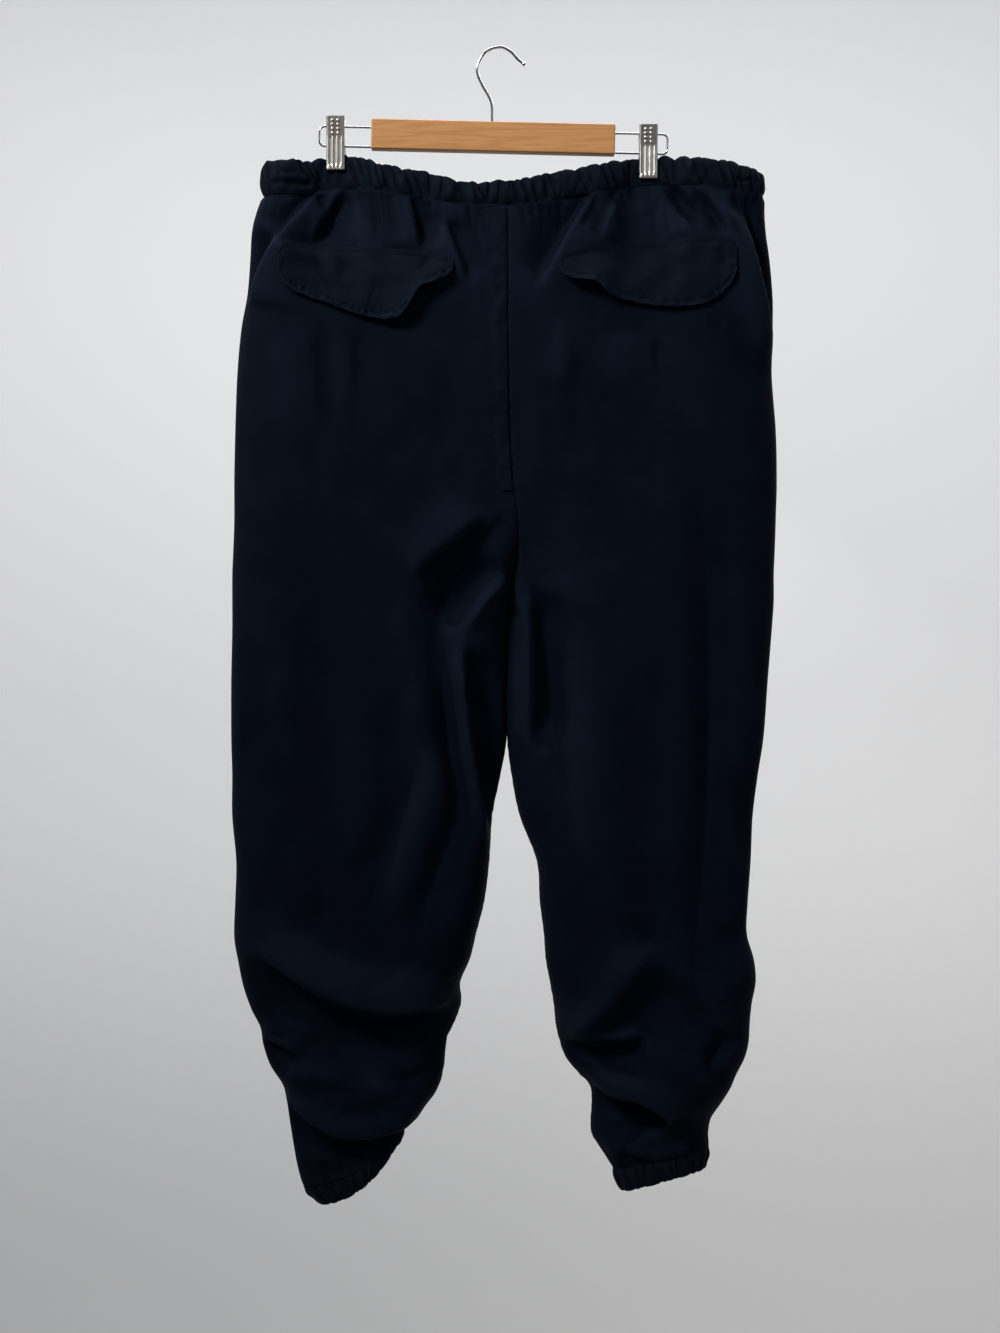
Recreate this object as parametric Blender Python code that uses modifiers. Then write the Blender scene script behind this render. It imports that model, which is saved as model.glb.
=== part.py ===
"""Parachute pants hanging by the waist from a wooden clip hanger.

Metres, +Z up, front towards -Y, wearer's right towards -X. The origin is the point under
the top of the hook, where the hanger bears on whatever it hangs from. The sizes below are
in millimetres in that frame, and objects are made from them in metres.
"""

import itertools
import math
from collections import namedtuple

import bmesh
import bpy
import numpy as np
from mathutils import Vector
from mathutils.bvhtree import BVHTree

MM = 0.001
FRONT, BACK = -1, 1
RIGHT, LEFT = -1, 1
SIDE_NAMES = {RIGHT: "right", LEFT: "left"}
FACE_NAMES = {FRONT: "front", BACK: "back"}

# ---------------------------------------------------------------- driving sizes
CLOTH = 1.6          # wall of a panel
SEAM_GAP = 0.3       # between pieces that meet at a seam
WAIST_SEAM_GAP = 1.1 # and where the panels' straight facets meet the gathered casing
NOSE_GAP = 0.7       # half the gap where a front and a back meet at a rounded side
NOSE_ROUND = 1.25    # how full the rounded side edges are
LEAST_ROUND = 2.5    # and the least full that a narrow leg's may be
APEX = 0.5           # where a leg is deepest, from its inner to its outer edge
PANEL_COLUMNS = 16   # points across a panel
TURN_SPREAD = 4.0    # how soon the two legs part where the rise seam turns under
SEAM_EASE = 0.13     # share of a panel's width over which its folds fade at a seam
END_ROWS = 1.5       # rows over which they fade at the waist and the hem
END_SHARE = 0.3      # and the share of them that is left in the last row

CLIP_X = {RIGHT: -163.9, LEFT: 148.1}
CLIP_MID_Z = {RIGHT: -96.5, LEFT: -105.0}
PINCH_WIDTH = 34.0   # how far a clip draws the waist flat, to each side
PINCH_REACH = 55.0   # and how far down
CLIP_HOLD = 17.0     # how far to each side a jaw presses the casing thin
PINCHED_DEPTH = 2.8  # half depth of the waist between a clip's jaws
WAIST_REACH = 60.0   # how far down the panels follow the waist seam's own line

# One row for each level down a leg: the outer and inner edge of the leg as seen from the
# front, how far the level sags between them, how far the front and the back stand out, and
# how far the inner edge has turned from the rise seam (0) to the inseam (1).
Section = namedtuple("Section", "x_out z_out x_in z_in sag front back turn")
RIGHT_SECTIONS = (
    Section(-234, -149, 8, -160, 0, 14, 14, 0.00),
    Section(-242, -168, 8, -177, 0, 18, 18, 0.00),
    Section(-247, -187, 8, -195, 0, 21, 21, 0.00),
    Section(-249, -214, 8, -220, 0, 25, 25, 0.00),
    Section(-252, -248, 8, -250, 0, 28, 29, 0.00),
    Section(-258, -282, 8, -284, 0, 30, 32, 0.00),
    Section(-262, -327, 9, -328, 0, 32, 34, 0.00),
    Section(-264, -382, 10, -382, 0, 33, 36, 0.00),
    Section(-265, -432, 13, -432, 0, 34, 37, 0.00),
    Section(-265, -472, 17, -470, 0, 35, 37, 0.06),
    Section(-266, -502, 18, -499, 0, 35, 37, 0.35),
    Section(-267, -527, 14, -526, 0, 35, 37, 0.75),
    Section(-267, -552, 9, -550, 0, 35, 37, 1.00),
    Section(-267, -582, 7, -582, 0, 35, 36, 1.00),
    Section(-268, -632, 7, -632, 0, 35, 36, 1.00),
    Section(-268, -687, 6, -687, 0, 35, 35, 1.00),
    Section(-267, -727, 0, -727, 0, 35, 35, 1.00),
    Section(-267, -767, -8, -767, 2, 35, 35, 1.00),
    Section(-263, -812, -11, -812, 4, 36, 35, 1.00),
    Section(-264, -852, -16, -852, 8, 37, 36, 1.00),
    Section(-265, -887, -24, -884, 13, 40, 37, 1.00),
    Section(-261, -912, -30, -909, 18, 43, 39, 1.00),
    Section(-256, -937, -40, -933, 23, 44, 42, 1.00),
    Section(-248, -960, -39, -952, 26, 41, 43, 1.00),
    Section(-239, -978, -45, -971, 27, 35, 41, 1.00),
    Section(-236, -996, -53, -988, 26, 33, 37, 1.00),
    Section(-229, -1016, -55, -1003, 24, 36, 35, 1.00),
    Section(-217, -1034, -57, -1021, 22, 39, 37, 1.00),
    Section(-213, -1049, -63, -1040, 20, 38, 38, 1.00),
    Section(-210, -1069, -76, -1057, 17, 33, 35, 1.00),
    Section(-206, -1095, -88, -1067, 14, 29, 30, 1.00),
    Section(-202, -1117, -93, -1072, 12, 26, 26, 1.00),
    Section(-196, -1136, -96, -1078, 11, 23, 23, 1.00),
)
LEFT_SECTIONS = (
    Section(262, -148, 8, -160, 0, 14, 14, 0.00),
    Section(263, -168, 8, -177, 0, 18, 18, 0.00),
    Section(265, -187, 8, -195, 0, 21, 21, 0.00),
    Section(269, -214, 8, -220, 0, 25, 25, 0.00),
    Section(272, -250, 8, -250, 0, 28, 29, 0.00),
    Section(272, -284, 8, -284, 0, 30, 32, 0.00),
    Section(271, -328, 9, -328, 0, 32, 34, 0.00),
    Section(275, -382, 10, -382, 0, 33, 36, 0.00),
    Section(276, -432, 13, -432, 0, 34, 37, 0.00),
    Section(275, -472, 17, -470, 0, 35, 37, 0.06),
    Section(274, -502, 18, -499, 0, 35, 37, 0.35),
    Section(273, -527, 14, -526, 0, 35, 37, 0.75),
    Section(273, -552, 9, -550, 0, 35, 37, 1.00),
    Section(271, -582, 7, -582, 0, 35, 36, 1.00),
    Section(267, -632, 7, -632, 0, 35, 36, 1.00),
    Section(263, -687, 8, -687, 0, 35, 35, 1.00),
    Section(257, -727, 12, -727, 0, 35, 35, 1.00),
    Section(252, -767, 20, -767, 2, 35, 35, 1.00),
    Section(250, -812, 37, -812, 3, 35, 35, 1.00),
    Section(247, -852, 40, -852, 5, 36, 36, 1.00),
    Section(246, -884, 44, -884, 7, 37, 37, 1.00),
    Section(253, -910, 46, -910, 9, 38, 40, 1.00),
    Section(255, -932, 50, -932, 11, 37, 42, 1.00),
    Section(251, -954, 54, -955, 12, 36, 42, 1.00),
    Section(249, -974, 56, -975, 12, 37, 39, 1.00),
    Section(248, -992, 60, -992, 12, 39, 36, 1.00),
    Section(244, -1008, 66, -1008, 11, 41, 36, 1.00),
    Section(236, -1024, 78, -1023, 10, 41, 38, 1.00),
    Section(230, -1038, 90, -1036, 9, 38, 38, 1.00),
    Section(221, -1053, 92, -1052, 7, 33, 35, 1.00),
    Section(211, -1068, 91, -1068, 5, 30, 31, 1.00),
    Section(208, -1081, 92, -1085, 3, 27, 27, 1.00),
    Section(208, -1090, 103, -1102, 1, 24, 24, 1.00),
    Section(208, -1097, 113, -1118, 0, 21, 21, 1.00),
)
SECTIONS = {RIGHT: RIGHT_SECTIONS, LEFT: LEFT_SECTIONS}

# The free lower edge of each hem casing.
HEM_ENDS = {
    RIGHT: Section(-179, -1154, -103, -1094, 11, 24, 24, 1.00),
    LEFT: Section(205, -1118, 122, -1141, -2, 22, 22, 1.00),
}

# The waist seam and the casing's top edge, across the whole front.
Waist = namedtuple("Waist", "x top seam")
WAIST = (
    Waist(-240, -121, -147),
    Waist(-232, -115, -149),
    Waist(-201, -114, -149),
    Waist(-173, -112, -144),
    Waist(-155, -107, -140),
    Waist(-137, -111, -142),
    Waist(-113, -120, -147),
    Waist(-89, -124, -151),
    Waist(-65, -129, -155),
    Waist(-35, -137, -159),
    Waist(7, -136, -160),
    Waist(37, -130, -157),
    Waist(73, -124, -151),
    Waist(109, -116, -144),
    Waist(139, -111, -138),
    Waist(163, -109, -136),
    Waist(193, -112, -140),
    Waist(223, -115, -144),
    Waist(247, -121, -148),
    Waist(265, -128, -149),
)

# Folds, as curves over the front view through a start, a middle and an end. On the left of
# the way along it a fold rises softly over its reach; on the right it falls away within its
# lip and the cloth beyond drops by its drop. A trough has a rise below zero.
Fold = namedtuple("Fold", "x0 z0 x1 z1 x2 z2 rise drop reach lip")
FOLD_STEPS = 24          # straight steps along a fold's curve
FOLD_TAPER = 0.25        # share of a fold's length over which either end fades
FOLDS = {
    (FRONT, RIGHT): (
        Fold(-216, -187, -235, -224, -249, -262, 6, 8, 40, 9),
        Fold(-171, -130, -193, -167, -214, -198, 7, 0, 14, 14),
        Fold(-152, -138, -179, -172, -198, -200, -7, 0, 12, 12),
        Fold(-131, -142, -127, -167, -123, -200, -9, 0, 12, 12),
        Fold(-108, -147, -103, -167, -99, -195, 6, 0, 12, 12),
        Fold(-91, -150, -83, -172, -76, -205, -9, 0, 12, 12),
        Fold(-58, -158, -52, -190, -50, -225, 6, 0, 16, 16),
        Fold(7, -472, -46, -517, -61, -577, -12, 0, 27, 27),
        Fold(-61, -570, -46, -652, -81, -729, -12, 0, 23, 23),
        Fold(-47, -711, -76, -767, -103, -821, 11, 0, 18, 18),
        Fold(-48, -729, -61, -792, -72, -852, -9, 0, 15, 15),
        Fold(-30, -612, -33, -556, 10, -524, 8, 21, 34, 9),
        Fold(-10, -806, -25, -722, -37, -598, 8, 21, 34, 9),
        Fold(-246, -896, -136, -964, -44, -944, 11, 24, 42, 10),
        Fold(-242, -984, -221, -990, -196, -1000, 5, 8, 12, 7),
        Fold(-122, -1015, -86, -1024, -54, -1008, -9, 0, 14, 14),
        Fold(-218, -1033, -146, -1075, -84, -1062, 9, 11, 18, 8),
    ),
    (FRONT, LEFT): (
        Fold(258, -262, 247, -187, 236, -140, 6, 8, 40, 9),
        Fold(104, -142, 79, -197, 60, -252, -9, 0, 13, 13),
        Fold(89, -147, 69, -180, 50, -222, 8, 0, 12, 12),
        Fold(131, -142, 111, -172, 95, -202, -7, 0, 11, 11),
        Fold(147, -144, 149, -167, 151, -192, 6, 0, 14, 14),
        Fold(167, -142, 189, -167, 214, -192, -8, 0, 12, 12),
        Fold(199, -142, 202, -157, 207, -179, -7, 0, 11, 11),
        Fold(189, -422, 206, -652, 189, -852, -8, 0, 30, 30),
        Fold(40, -520, 42, -602, 40, -668, -16, 0, 15, 15),
        Fold(40, -642, 55, -722, 82, -785, -12, 0, 16, 16),
        Fold(74, -988, 124, -942, 165, -892, 7, 17, 32, 11),
        Fold(66, -980, 104, -986, 145, -978, 6, 13, 16, 9),
        Fold(250, -978, 211, -1004, 232, -1032, -9, 0, 11, 11),
        Fold(86, -1034, 139, -1044, 170, -1072, 10, 17, 22, 8),
        Fold(122, -1090, 152, -1104, 206, -1090, 5, 8, 12, 7),
    ),
    (BACK, RIGHT): (
        Fold(-205, -160, -214, -215, -236, -290, 6, 6, 32, 10),
        Fold(-150, -140, -128, -190, -118, -250, -9, 0, 13, 13),
        Fold(-108, -150, -95, -200, -92, -260, 7, 0, 15, 15),
        Fold(-70, -158, -62, -195, -60, -240, -9, 0, 13, 13),
        Fold(-30, -162, -28, -190, -25, -225, 4, 0, 12, 12),
        Fold(0, -470, -62, -530, -84, -620, -12, 0, 28, 28),
        Fold(-70, -610, -60, -700, -88, -790, -10, 0, 22, 22),
        Fold(-190, -380, -196, -560, -186, -760, -5, 0, 30, 30),
        Fold(-256, -924, -160, -974, -42, -936, 11, 22, 40, 10),
        Fold(-230, -1000, -150, -1036, -56, -1010, 9, 12, 20, 9),
        Fold(-210, -1050, -160, -1080, -92, -1062, 6, 7, 13, 8),
    ),
    (BACK, LEFT): (
        Fold(236, -290, 216, -215, 205, -160, 6, 6, 32, 10),
        Fold(135, -140, 118, -190, 108, -250, -9, 0, 13, 13),
        Fold(160, -140, 170, -190, 172, -240, 7, 0, 15, 15),
        Fold(95, -148, 82, -200, 76, -260, 7, 0, 14, 14),
        Fold(50, -156, 45, -195, 42, -240, -9, 0, 13, 13),
        Fold(16, -470, 76, -530, 98, -620, -12, 0, 28, 28),
        Fold(84, -610, 74, -700, 100, -790, -10, 0, 22, 22),
        Fold(200, -380, 206, -560, 196, -760, -5, 0, 30, 30),
        Fold(56, -944, 150, -992, 256, -954, 11, 20, 40, 10),
        Fold(88, -1030, 160, -1056, 230, -1026, 9, 12, 18, 8),
    ),
}

# Pocket flaps: their upper and lower edge, and how far the lower edge curls off the leg.
Flap = namedtuple("Flap", "x top bottom lift")
FLAPS = {
    RIGHT: (
        Flap(-218, -214, -227, 1.0),
        Flap(-214, -202, -238, 1.5),
        Flap(-200, -200, -250, 2.0),
        Flap(-180, -201, -257, 2.5),
        Flap(-156, -202, -266, 3.0),
        Flap(-132, -203, -274, 4.0),
        Flap(-111, -205, -277, 6.0),
        Flap(-99, -206, -275, 8.0),
        Flap(-90, -207, -264, 10.0),
        Flap(-77, -209, -245, 9.0),
        Flap(-61, -212, -239, 6.0),
        Flap(-49, -216, -231, 3.0),
        Flap(-46, -219, -225, 2.0),
    ),
    LEFT: (
        Flap(57, -218, -222, 2.0),
        Flap(62, -213, -232, 3.0),
        Flap(71, -209, -237, 5.0),
        Flap(84, -206, -239, 7.0),
        Flap(94, -205, -241, 8.0),
        Flap(105, -203, -251, 7.0),
        Flap(117, -201, -256, 5.0),
        Flap(139, -199, -261, 3.5),
        Flap(164, -197, -264, 3.0),
        Flap(189, -194, -263, 2.5),
        Flap(203, -193, -260, 2.0),
        Flap(215, -193, -253, 1.5),
        Flap(227, -196, -241, 1.5),
        Flap(233, -208, -228, 1.0),
    ),
}
FLAP_THICKNESS = 2.2
FLAP_ROWS = 6
FLAP_CLEARANCE = 0.6
FLAP_CURL = 1.6          # how late down the flap its lift sets in
SPREAD = 7.0             # how far round each of their points a laid piece clears the panel
RAY_START = -0.2         # where rays towards the panel start, in metres in front of it

# The fly placket, which narrows downwards beside the front seam.
Placket = namedtuple("Placket", "z x_left x_right")
PLACKET = (
    Placket(-163, -15, 7.0),
    Placket(-168, -15, 7.0),
    Placket(-190, -13, 7.0),
    Placket(-215, -12, 7.0),
    Placket(-250, -10, 7.0),
    Placket(-285, -9, 7.4),
    Placket(-330, -8, 8.0),
    Placket(-380, -7, 8.8),
    Placket(-420, -5, 10.6),
    Placket(-446, 0, 12.6),
)
PLACKET_THICKNESS = 1.2
PLACKET_COLUMNS = 4

# Gathered casings
WAIST_GATHERS = 48       # on each half, from the front seam round to the centre back
HEM_GATHERS = 22         # round each ankle
GATHER_DEPTH = 1.5
GATHER_RISE = 1.1        # how far a gather lifts the casing's free edge
GATHER_SHIFT = 0.45      # how far gathers stray from even steps, as a share of a step
GATHER_WAVES = (2.4, 0.7)
CASING_END_X = {RIGHT: -239.0, LEFT: 265.0}
CASING_RING_Z = -148.0
WAIST_RING_POINTS = 160  # across each face of the waist, to measure its length by
HEM_RING_POINTS = 60
WAY_REACH = 2.0          # how far to each side a casing's direction is measured
HEM_SEAM_GAP = 0.6       # between a leg and its hem casing, along the slope
SEWN_DISTANCE = 1e-7     # points this near are one, in metres

# How far a casing swells outwards: its middle, its unevenness, and how fast that varies.
Swell = namedtuple("Swell", "middle uneven wave")
WAIST_SWELL = Swell(3.4, 0.6, 1.9)
HEM_SWELL = Swell(2.6, 0.5, 1.3)
CLIPPED = 0.62           # the share of the swell that a clip's jaws press out

# A casing's cross-section, from its seam round its free edge. How far out a point is adds up
# from a fixed size, a share of the swell and a share of the gather's depth taken away. How
# high it is adds up from shares of the free edge's height and of the seam's.
CasingPoint = namedtuple("CasingPoint", "out swell depth free seam")
CASING_SECTION = (
    CasingPoint(-0.8, 0.0, 0.0, 0.0, 1.0),
    CasingPoint(0.8, 0.0, 0.0, 0.0, 1.0),
    CasingPoint(0.0, 0.72, 0.8, 0.0, 0.66),
    CasingPoint(0.0, 1.0, 1.0, 0.08, 0.0),
    CasingPoint(0.0, 0.75, 0.7, 0.74, 0.0),
    CasingPoint(0.0, 0.0, 0.0, 1.0, 0.0),
    CasingPoint(-1.5, 0.0, 0.0, 0.7, 0.0),
    CasingPoint(-1.7, 0.0, 0.0, 0.0, 0.3),
)

# The hanger
HOOK_WIRE = 3.0
RAIL_WIRE = 2.3
BAR_SIZE = (243.5, 12.0, 30.0)
BAR_CENTRE = (-6.8, 0.0, -89.2)
BAR_TILT = math.radians(1.36)
BAR_EDGE = 1.2
BORE_CLEARANCE = 0.3
HOOK_BORE_DEPTH = 12.0
RAIL_BORE_DEPTH = 10.0
RAIL_HEIGHTS = (7.2, -12.4)
RAIL_REACH = {RIGHT: -173.5, LEFT: 174.5}
RAIL_BEND = 5.0
RAIL_BEND_STEPS = 4
BAR_EDGE_STEPS = 2
BORE_SIDES = 12
BORE_TOP = -60.0         # where the hook's bore starts, above the bar
BORE_OVERRUN = 5.0       # how far outside the bar's ends the rails' bores start
WIRE_ROUNDNESS = 2
HOOK_POINTS = (
    (-7.7, -85.0),
    (-7.7, -70.0),
    (-8.7, -53.5),
    (-17.2, -37.5),
    (-22.2, -25.5),
    (-21.9, -15.5),
    (-14.1, -3.2),
    (0.0, 1.5),
    (10.3, -2.8),
    (18.3, -11.2),
    (25.9, -16.8),
)
HOOK_STEPS = 4
HOOK_TIP_SWELL = (1.0, 1.3, 1.5, 1.35, 0.8)

# A clip's jaw: how far its plate and its side flanges stand from the clip's mid plane. The
# back jaw's flanges reach in to the two wires of the rail that carries the clip.
Jaw = namedtuple("Jaw", "height plate front_flange back_flange")
JAW = (
    Jaw(27.0, 8.4, 7.0, 7.0),
    Jaw(22.0, 8.0, 5.4, 3.6),
    Jaw(20.5, 7.9, 4.9, 1.3),
    Jaw(8.0, 6.9, 2.2, 1.3),
    Jaw(-2.0, 6.8, 4.4, 1.3),
    Jaw(-4.5, 6.8, 4.8, 4.6),
    Jaw(-9.0, 6.7, 5.2, 5.2),
    Jaw(-18.0, 6.6, 5.3, 5.3),
    Jaw(-26.5, 6.6, 5.3, 5.3),
)
JAW_WIDTH = 17.6
JAW_SHEET = 0.8
JAW_CORNER = 0.3
SPRING_HEIGHT = 8.6
SPRING_RADIUS = 4.6
SPRING_LENGTH = 12.0
PIN_RADIUS = 1.5
PIN_LENGTH = 16.4
SPRING_SIDES = 16
SCREW_MERGE = 0.00001

# ---------------------------------------------------------------- materials
COTTON = ("black cotton", (0.010, 0.011, 0.015), 0.92, 0.0)
CASING_COTTON = ("washed black cotton", (0.013, 0.015, 0.015), 0.93, 0.0)
FLAP_COTTON = ("faded black cotton", (0.017, 0.017, 0.021), 0.93, 0.0)
BEECH = ("varnished beech", (0.52, 0.27, 0.11), 0.45, 0.0)
CHROME = ("chromed wire", (0.62, 0.62, 0.63), 0.18, 1.0)
NICKEL = ("nickelled sheet", (0.58, 0.57, 0.55), 0.32, 1.0)


def material(finish):
    """The material of a finish: its name, colour, roughness and metallic value."""
    name, colour, roughness, metallic = finish
    found = bpy.data.materials.get(name)
    if found:
        return found
    made = bpy.data.materials.new(name)
    made.use_nodes = True
    shader = made.node_tree.nodes["Principled BSDF"]
    shader.inputs["Base Color"].default_value = (*colour, 1.0)
    shader.inputs["Roughness"].default_value = roughness
    shader.inputs["Metallic"].default_value = metallic
    return made


# ---------------------------------------------------------------- scene helpers
def clear_scene():
    for obj in list(bpy.data.objects):
        bpy.data.objects.remove(obj, do_unlink=True)


def new_collection(name):
    made = bpy.data.collections.new(name)
    bpy.context.scene.collection.children.link(made)
    return made


def add_object(name, data, finish, collection):
    obj = bpy.data.objects.new(name, data)
    collection.objects.link(obj)
    data.materials.append(material(finish))
    return obj


def loft(name, rows, finish, collection, closed=False, capped=False):
    """A mesh between rows of points in millimetres, each row an open line or a ring."""
    work = bmesh.new()
    verts = [[work.verts.new(Vector(point) * MM) for point in row] for row in rows]
    count = len(rows[0])
    for low, high in zip(verts[:-1], verts[1:]):
        for i in range(count if closed else count - 1):
            j = (i + 1) % count
            work.faces.new((low[i], low[j], high[j], high[i]))
    if capped:
        work.faces.new(verts[0])
        work.faces.new(list(reversed(verts[-1])))
    bmesh.ops.recalc_face_normals(work, faces=work.faces)
    mesh = bpy.data.meshes.new(name)
    work.to_mesh(mesh)
    work.free()
    mesh.shade_smooth()
    return add_object(name, mesh, finish, collection)


def add_wall(obj, thickness):
    wall = obj.modifiers.new("Wall", "SOLIDIFY")
    wall.thickness = thickness * MM
    wall.offset = 0.0
    return obj


def smooth_path(points, steps):
    """Points along a Catmull-Rom curve through the given ones."""
    points = np.array(points, float)
    padded = np.vstack([2 * points[0] - points[1], points, 2 * points[-1] - points[-2]])
    path = []
    for i in range(len(points) - 1):
        before, start, end, after = padded[i : i + 4]
        for k in range(steps):
            u = k / steps
            path.append(
                start
                + 0.5 * u * (end - before)
                + u * u * (before - 2.5 * start + 2 * end - 0.5 * after)
                + u**3 * (1.5 * (start - end) + 0.5 * (after - before))
            )
    path.append(points[-1])
    return np.array(path)


# ---------------------------------------------------------------- the cloth's form
def waist_line(x, edge):
    """The height of the casing's top edge or of the waist seam at x."""
    stations = [row.x for row in WAIST]
    return np.interp(x, stations, [getattr(row, edge) for row in WAIST])


def pinch(x, below, depth):
    """The half depth at x when the nearer clip draws the cloth together above it."""
    near = sum(np.exp(-(((x - clip) / PINCH_WIDTH) ** 4)) for clip in CLIP_X.values())
    hold = near * np.exp(-((below / PINCH_REACH) ** 2))
    return depth - (depth - PINCHED_DEPTH) * np.clip(hold, 0.0, 1.0)


def nose(reach, half_width, depth):
    """The share of the depth that is left at a share of the way to a rounded edge."""
    fullness = np.maximum(LEAST_ROUND, NOSE_ROUND * np.abs(half_width) / depth)
    return np.sqrt(np.clip(1.0 - reach**fullness, 0.0, 1.0))


def level(section, side, face, count):
    """Points across one face of a leg at one section, from its inner to its outer edge."""
    across = np.linspace(0.0, 1.0, count)
    turned = min(1.0, TURN_SPREAD * section.turn)
    x_in = section.x_in + side * (SEAM_GAP / 2 + (CLOTH / 2 + SEAM_GAP / 2) * turned)
    x_mid = x_in + APEX * (section.x_out - x_in)
    inner = across < APEX
    even = np.where(inner, 1.0 - across / APEX, (across - APEX) / (1.0 - APEX))
    rounded = np.where(inner, section.turn, 1.0)
    reach = even + rounded * (np.sin(even * math.pi / 2) - even)
    half_width = np.where(inner, x_in - x_mid, section.x_out - x_mid)
    x = x_mid + half_width * reach
    depth = section.front if face == FRONT else section.back
    depth = np.full(count, float(depth))
    depth = pinch(x, waist_line(section.x_in, "seam") - section.z_in, depth)
    share = nose(reach, half_width, depth)
    share = np.where(inner, 1.0 - section.turn * (1.0 - share), share)
    y = face * (NOSE_GAP + (depth - NOSE_GAP) * share)
    along = (x - x_in) / (section.x_out - x_in)
    z = section.z_in + along * (section.z_out - section.z_in)
    tilt = math.atan2(section.z_out - section.z_in, abs(section.x_out - x_in))
    hang = section.sag * 4.0 * along * (1.0 - along)
    x = x + side * hang * math.sin(tilt)
    z = z - hang * math.cos(tilt)
    return np.column_stack([x, y, z])


def follow_waist(grid, top):
    """Moves the upper rows of a panel up or down to the waist seam's own line."""
    straight = grid[0, :, 2].copy()
    wanted = waist_line(grid[0, :, 0], "seam") - top
    for row in grid:
        fade = np.exp(-(((straight - row[:, 2]) / WAIST_REACH) ** 2))
        row[:, 2] += (wanted - straight) * fade
    return grid


def fold_height(fold, x, z):
    """How far one fold moves the cloth outwards at the points x, z of the front view."""
    start, middle, end = (np.array(p) for p in (fold[0:2], fold[2:4], fold[4:6]))
    control = 2 * middle - 0.5 * (start + end)
    u = np.linspace(0.0, 1.0, FOLD_STEPS + 1)[:, None]
    line = (1 - u) ** 2 * start + 2 * u * (1 - u) * control + u**2 * end
    step = np.diff(line, axis=0)
    offset = np.stack([x, z], axis=-1)[..., None, :] - line[:-1]
    share = np.clip((offset * step).sum(-1) / (step * step).sum(-1), 0.0, 1.0)
    gap = offset - share[..., None] * step
    distance = np.hypot(gap[..., 0], gap[..., 1])
    near = distance.argmin(-1)[..., None]
    side = step[:, 0] * offset[..., 1] - step[:, 1] * offset[..., 0]
    distance = np.take_along_axis(distance, near, -1)[..., 0]
    side = np.take_along_axis(side, near, -1)[..., 0]
    along = (near[..., 0] + np.take_along_axis(share, near, -1)[..., 0]) / len(step)
    soft = fold.rise * np.exp(-((distance / fold.reach) ** 2))
    trough = distance / (2 * fold.lip)
    sharp = fold.rise * np.exp(-((distance / fold.lip) ** 2))
    sharp = sharp - fold.drop * trough * np.exp(1.0 - trough)
    ends = np.clip(np.minimum(along, 1.0 - along) / FOLD_TAPER, 0.0, 1.0)
    return np.where(side >= 0, soft, sharp) * ends * ends * (3 - 2 * ends)


def outward(grid, face):
    """The unit normal of a panel's surface at each of its points, pointing out."""
    normal = np.cross(np.gradient(grid, axis=1), np.gradient(grid, axis=0))
    normal /= np.linalg.norm(normal, axis=-1, keepdims=True)
    middle = normal[:, normal.shape[1] // 2, 1]
    return normal * np.where(middle * face > 0, 1.0, -1.0)[:, None, None]


def panel_grid(side, face):
    """The middle surface of one leg panel, rows down the leg and points across it."""
    rows = [level(section, side, face, PANEL_COLUMNS) for section in SECTIONS[side]]
    grid = follow_waist(np.array(rows), WAIST_SEAM_GAP)
    height = sum(fold_height(f, grid[..., 0], grid[..., 2]) for f in FOLDS[face, side])
    across = np.linspace(0.0, 1.0, PANEL_COLUMNS)
    ease = np.clip(np.minimum(across, 1.0 - across) / SEAM_EASE, 0.0, 1.0)
    down = np.arange(len(rows)) / (len(rows) - 1)
    from_end = np.minimum(down, 1.0 - down) * len(rows)
    ends = np.clip(from_end / END_ROWS, END_SHARE, 1.0)
    height = height * ease[None, :] * ends[:, None]
    return grid + outward(grid, face) * height[..., None]


def make_panels(parts):
    panels = {}
    for side in (RIGHT, LEFT):
        for face in (FRONT, BACK):
            name = f"{FACE_NAMES[face]}_{SIDE_NAMES[side]}"
            panel = loft(name, panel_grid(side, face), COTTON, parts)
            panels[face, side] = add_wall(panel, CLOTH)
    return panels


# ---------------------------------------------------------------- gathered casings
def ring_at(section, side, count):
    """Points round a leg at a section: across the front, then back across the back."""
    front = level(section, side, FRONT, count)
    back = level(section, side, BACK, count)[::-1]
    return np.vstack([front, back])


def resample(line, shares):
    """Points at given shares of a line's length, and the line's direction at each."""
    length = np.concatenate([[0], np.cumsum(np.linalg.norm(np.diff(line, axis=0), axis=1))])
    at = np.asarray(shares) * length[-1]
    points = np.column_stack([np.interp(at, length, line[:, k]) for k in range(3)])
    after, before = at + WAY_REACH, at - WAY_REACH
    ahead = np.column_stack([np.interp(after, length, line[:, k]) for k in range(3)])
    behind = np.column_stack([np.interp(before, length, line[:, k]) for k in range(3)])
    return points, ahead - behind


def gather_shares(count, closed):
    """Where the crests and hollows of uneven gathers lie along a casing."""
    step = np.arange(2 * count)
    quick, slow = GATHER_WAVES
    shift = GATHER_SHIFT * np.sin(step * quick) * np.sin(step * slow + 1.0)
    if closed:
        return (step + shift) / (2 * count)
    return np.concatenate([[0.0], (step[1:] + shift[1:]) / (2 * count), [1.0]])


def casing_profile(height, swell, crest, edge_down):
    """The cross-section of a casing as (out, up) pairs, from its seam round its free edge."""
    rise = GATHER_RISE if crest else -GATHER_RISE
    dip = 0.0 if crest else GATHER_DEPTH
    free = -height / 2 - rise if edge_down else height / 2 + rise
    seam = height / 2 if edge_down else -height / 2
    return [
        (p.out + p.swell * swell - p.depth * dip, p.free * free + p.seam * seam)
        for p in CASING_SECTION
    ]


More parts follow.
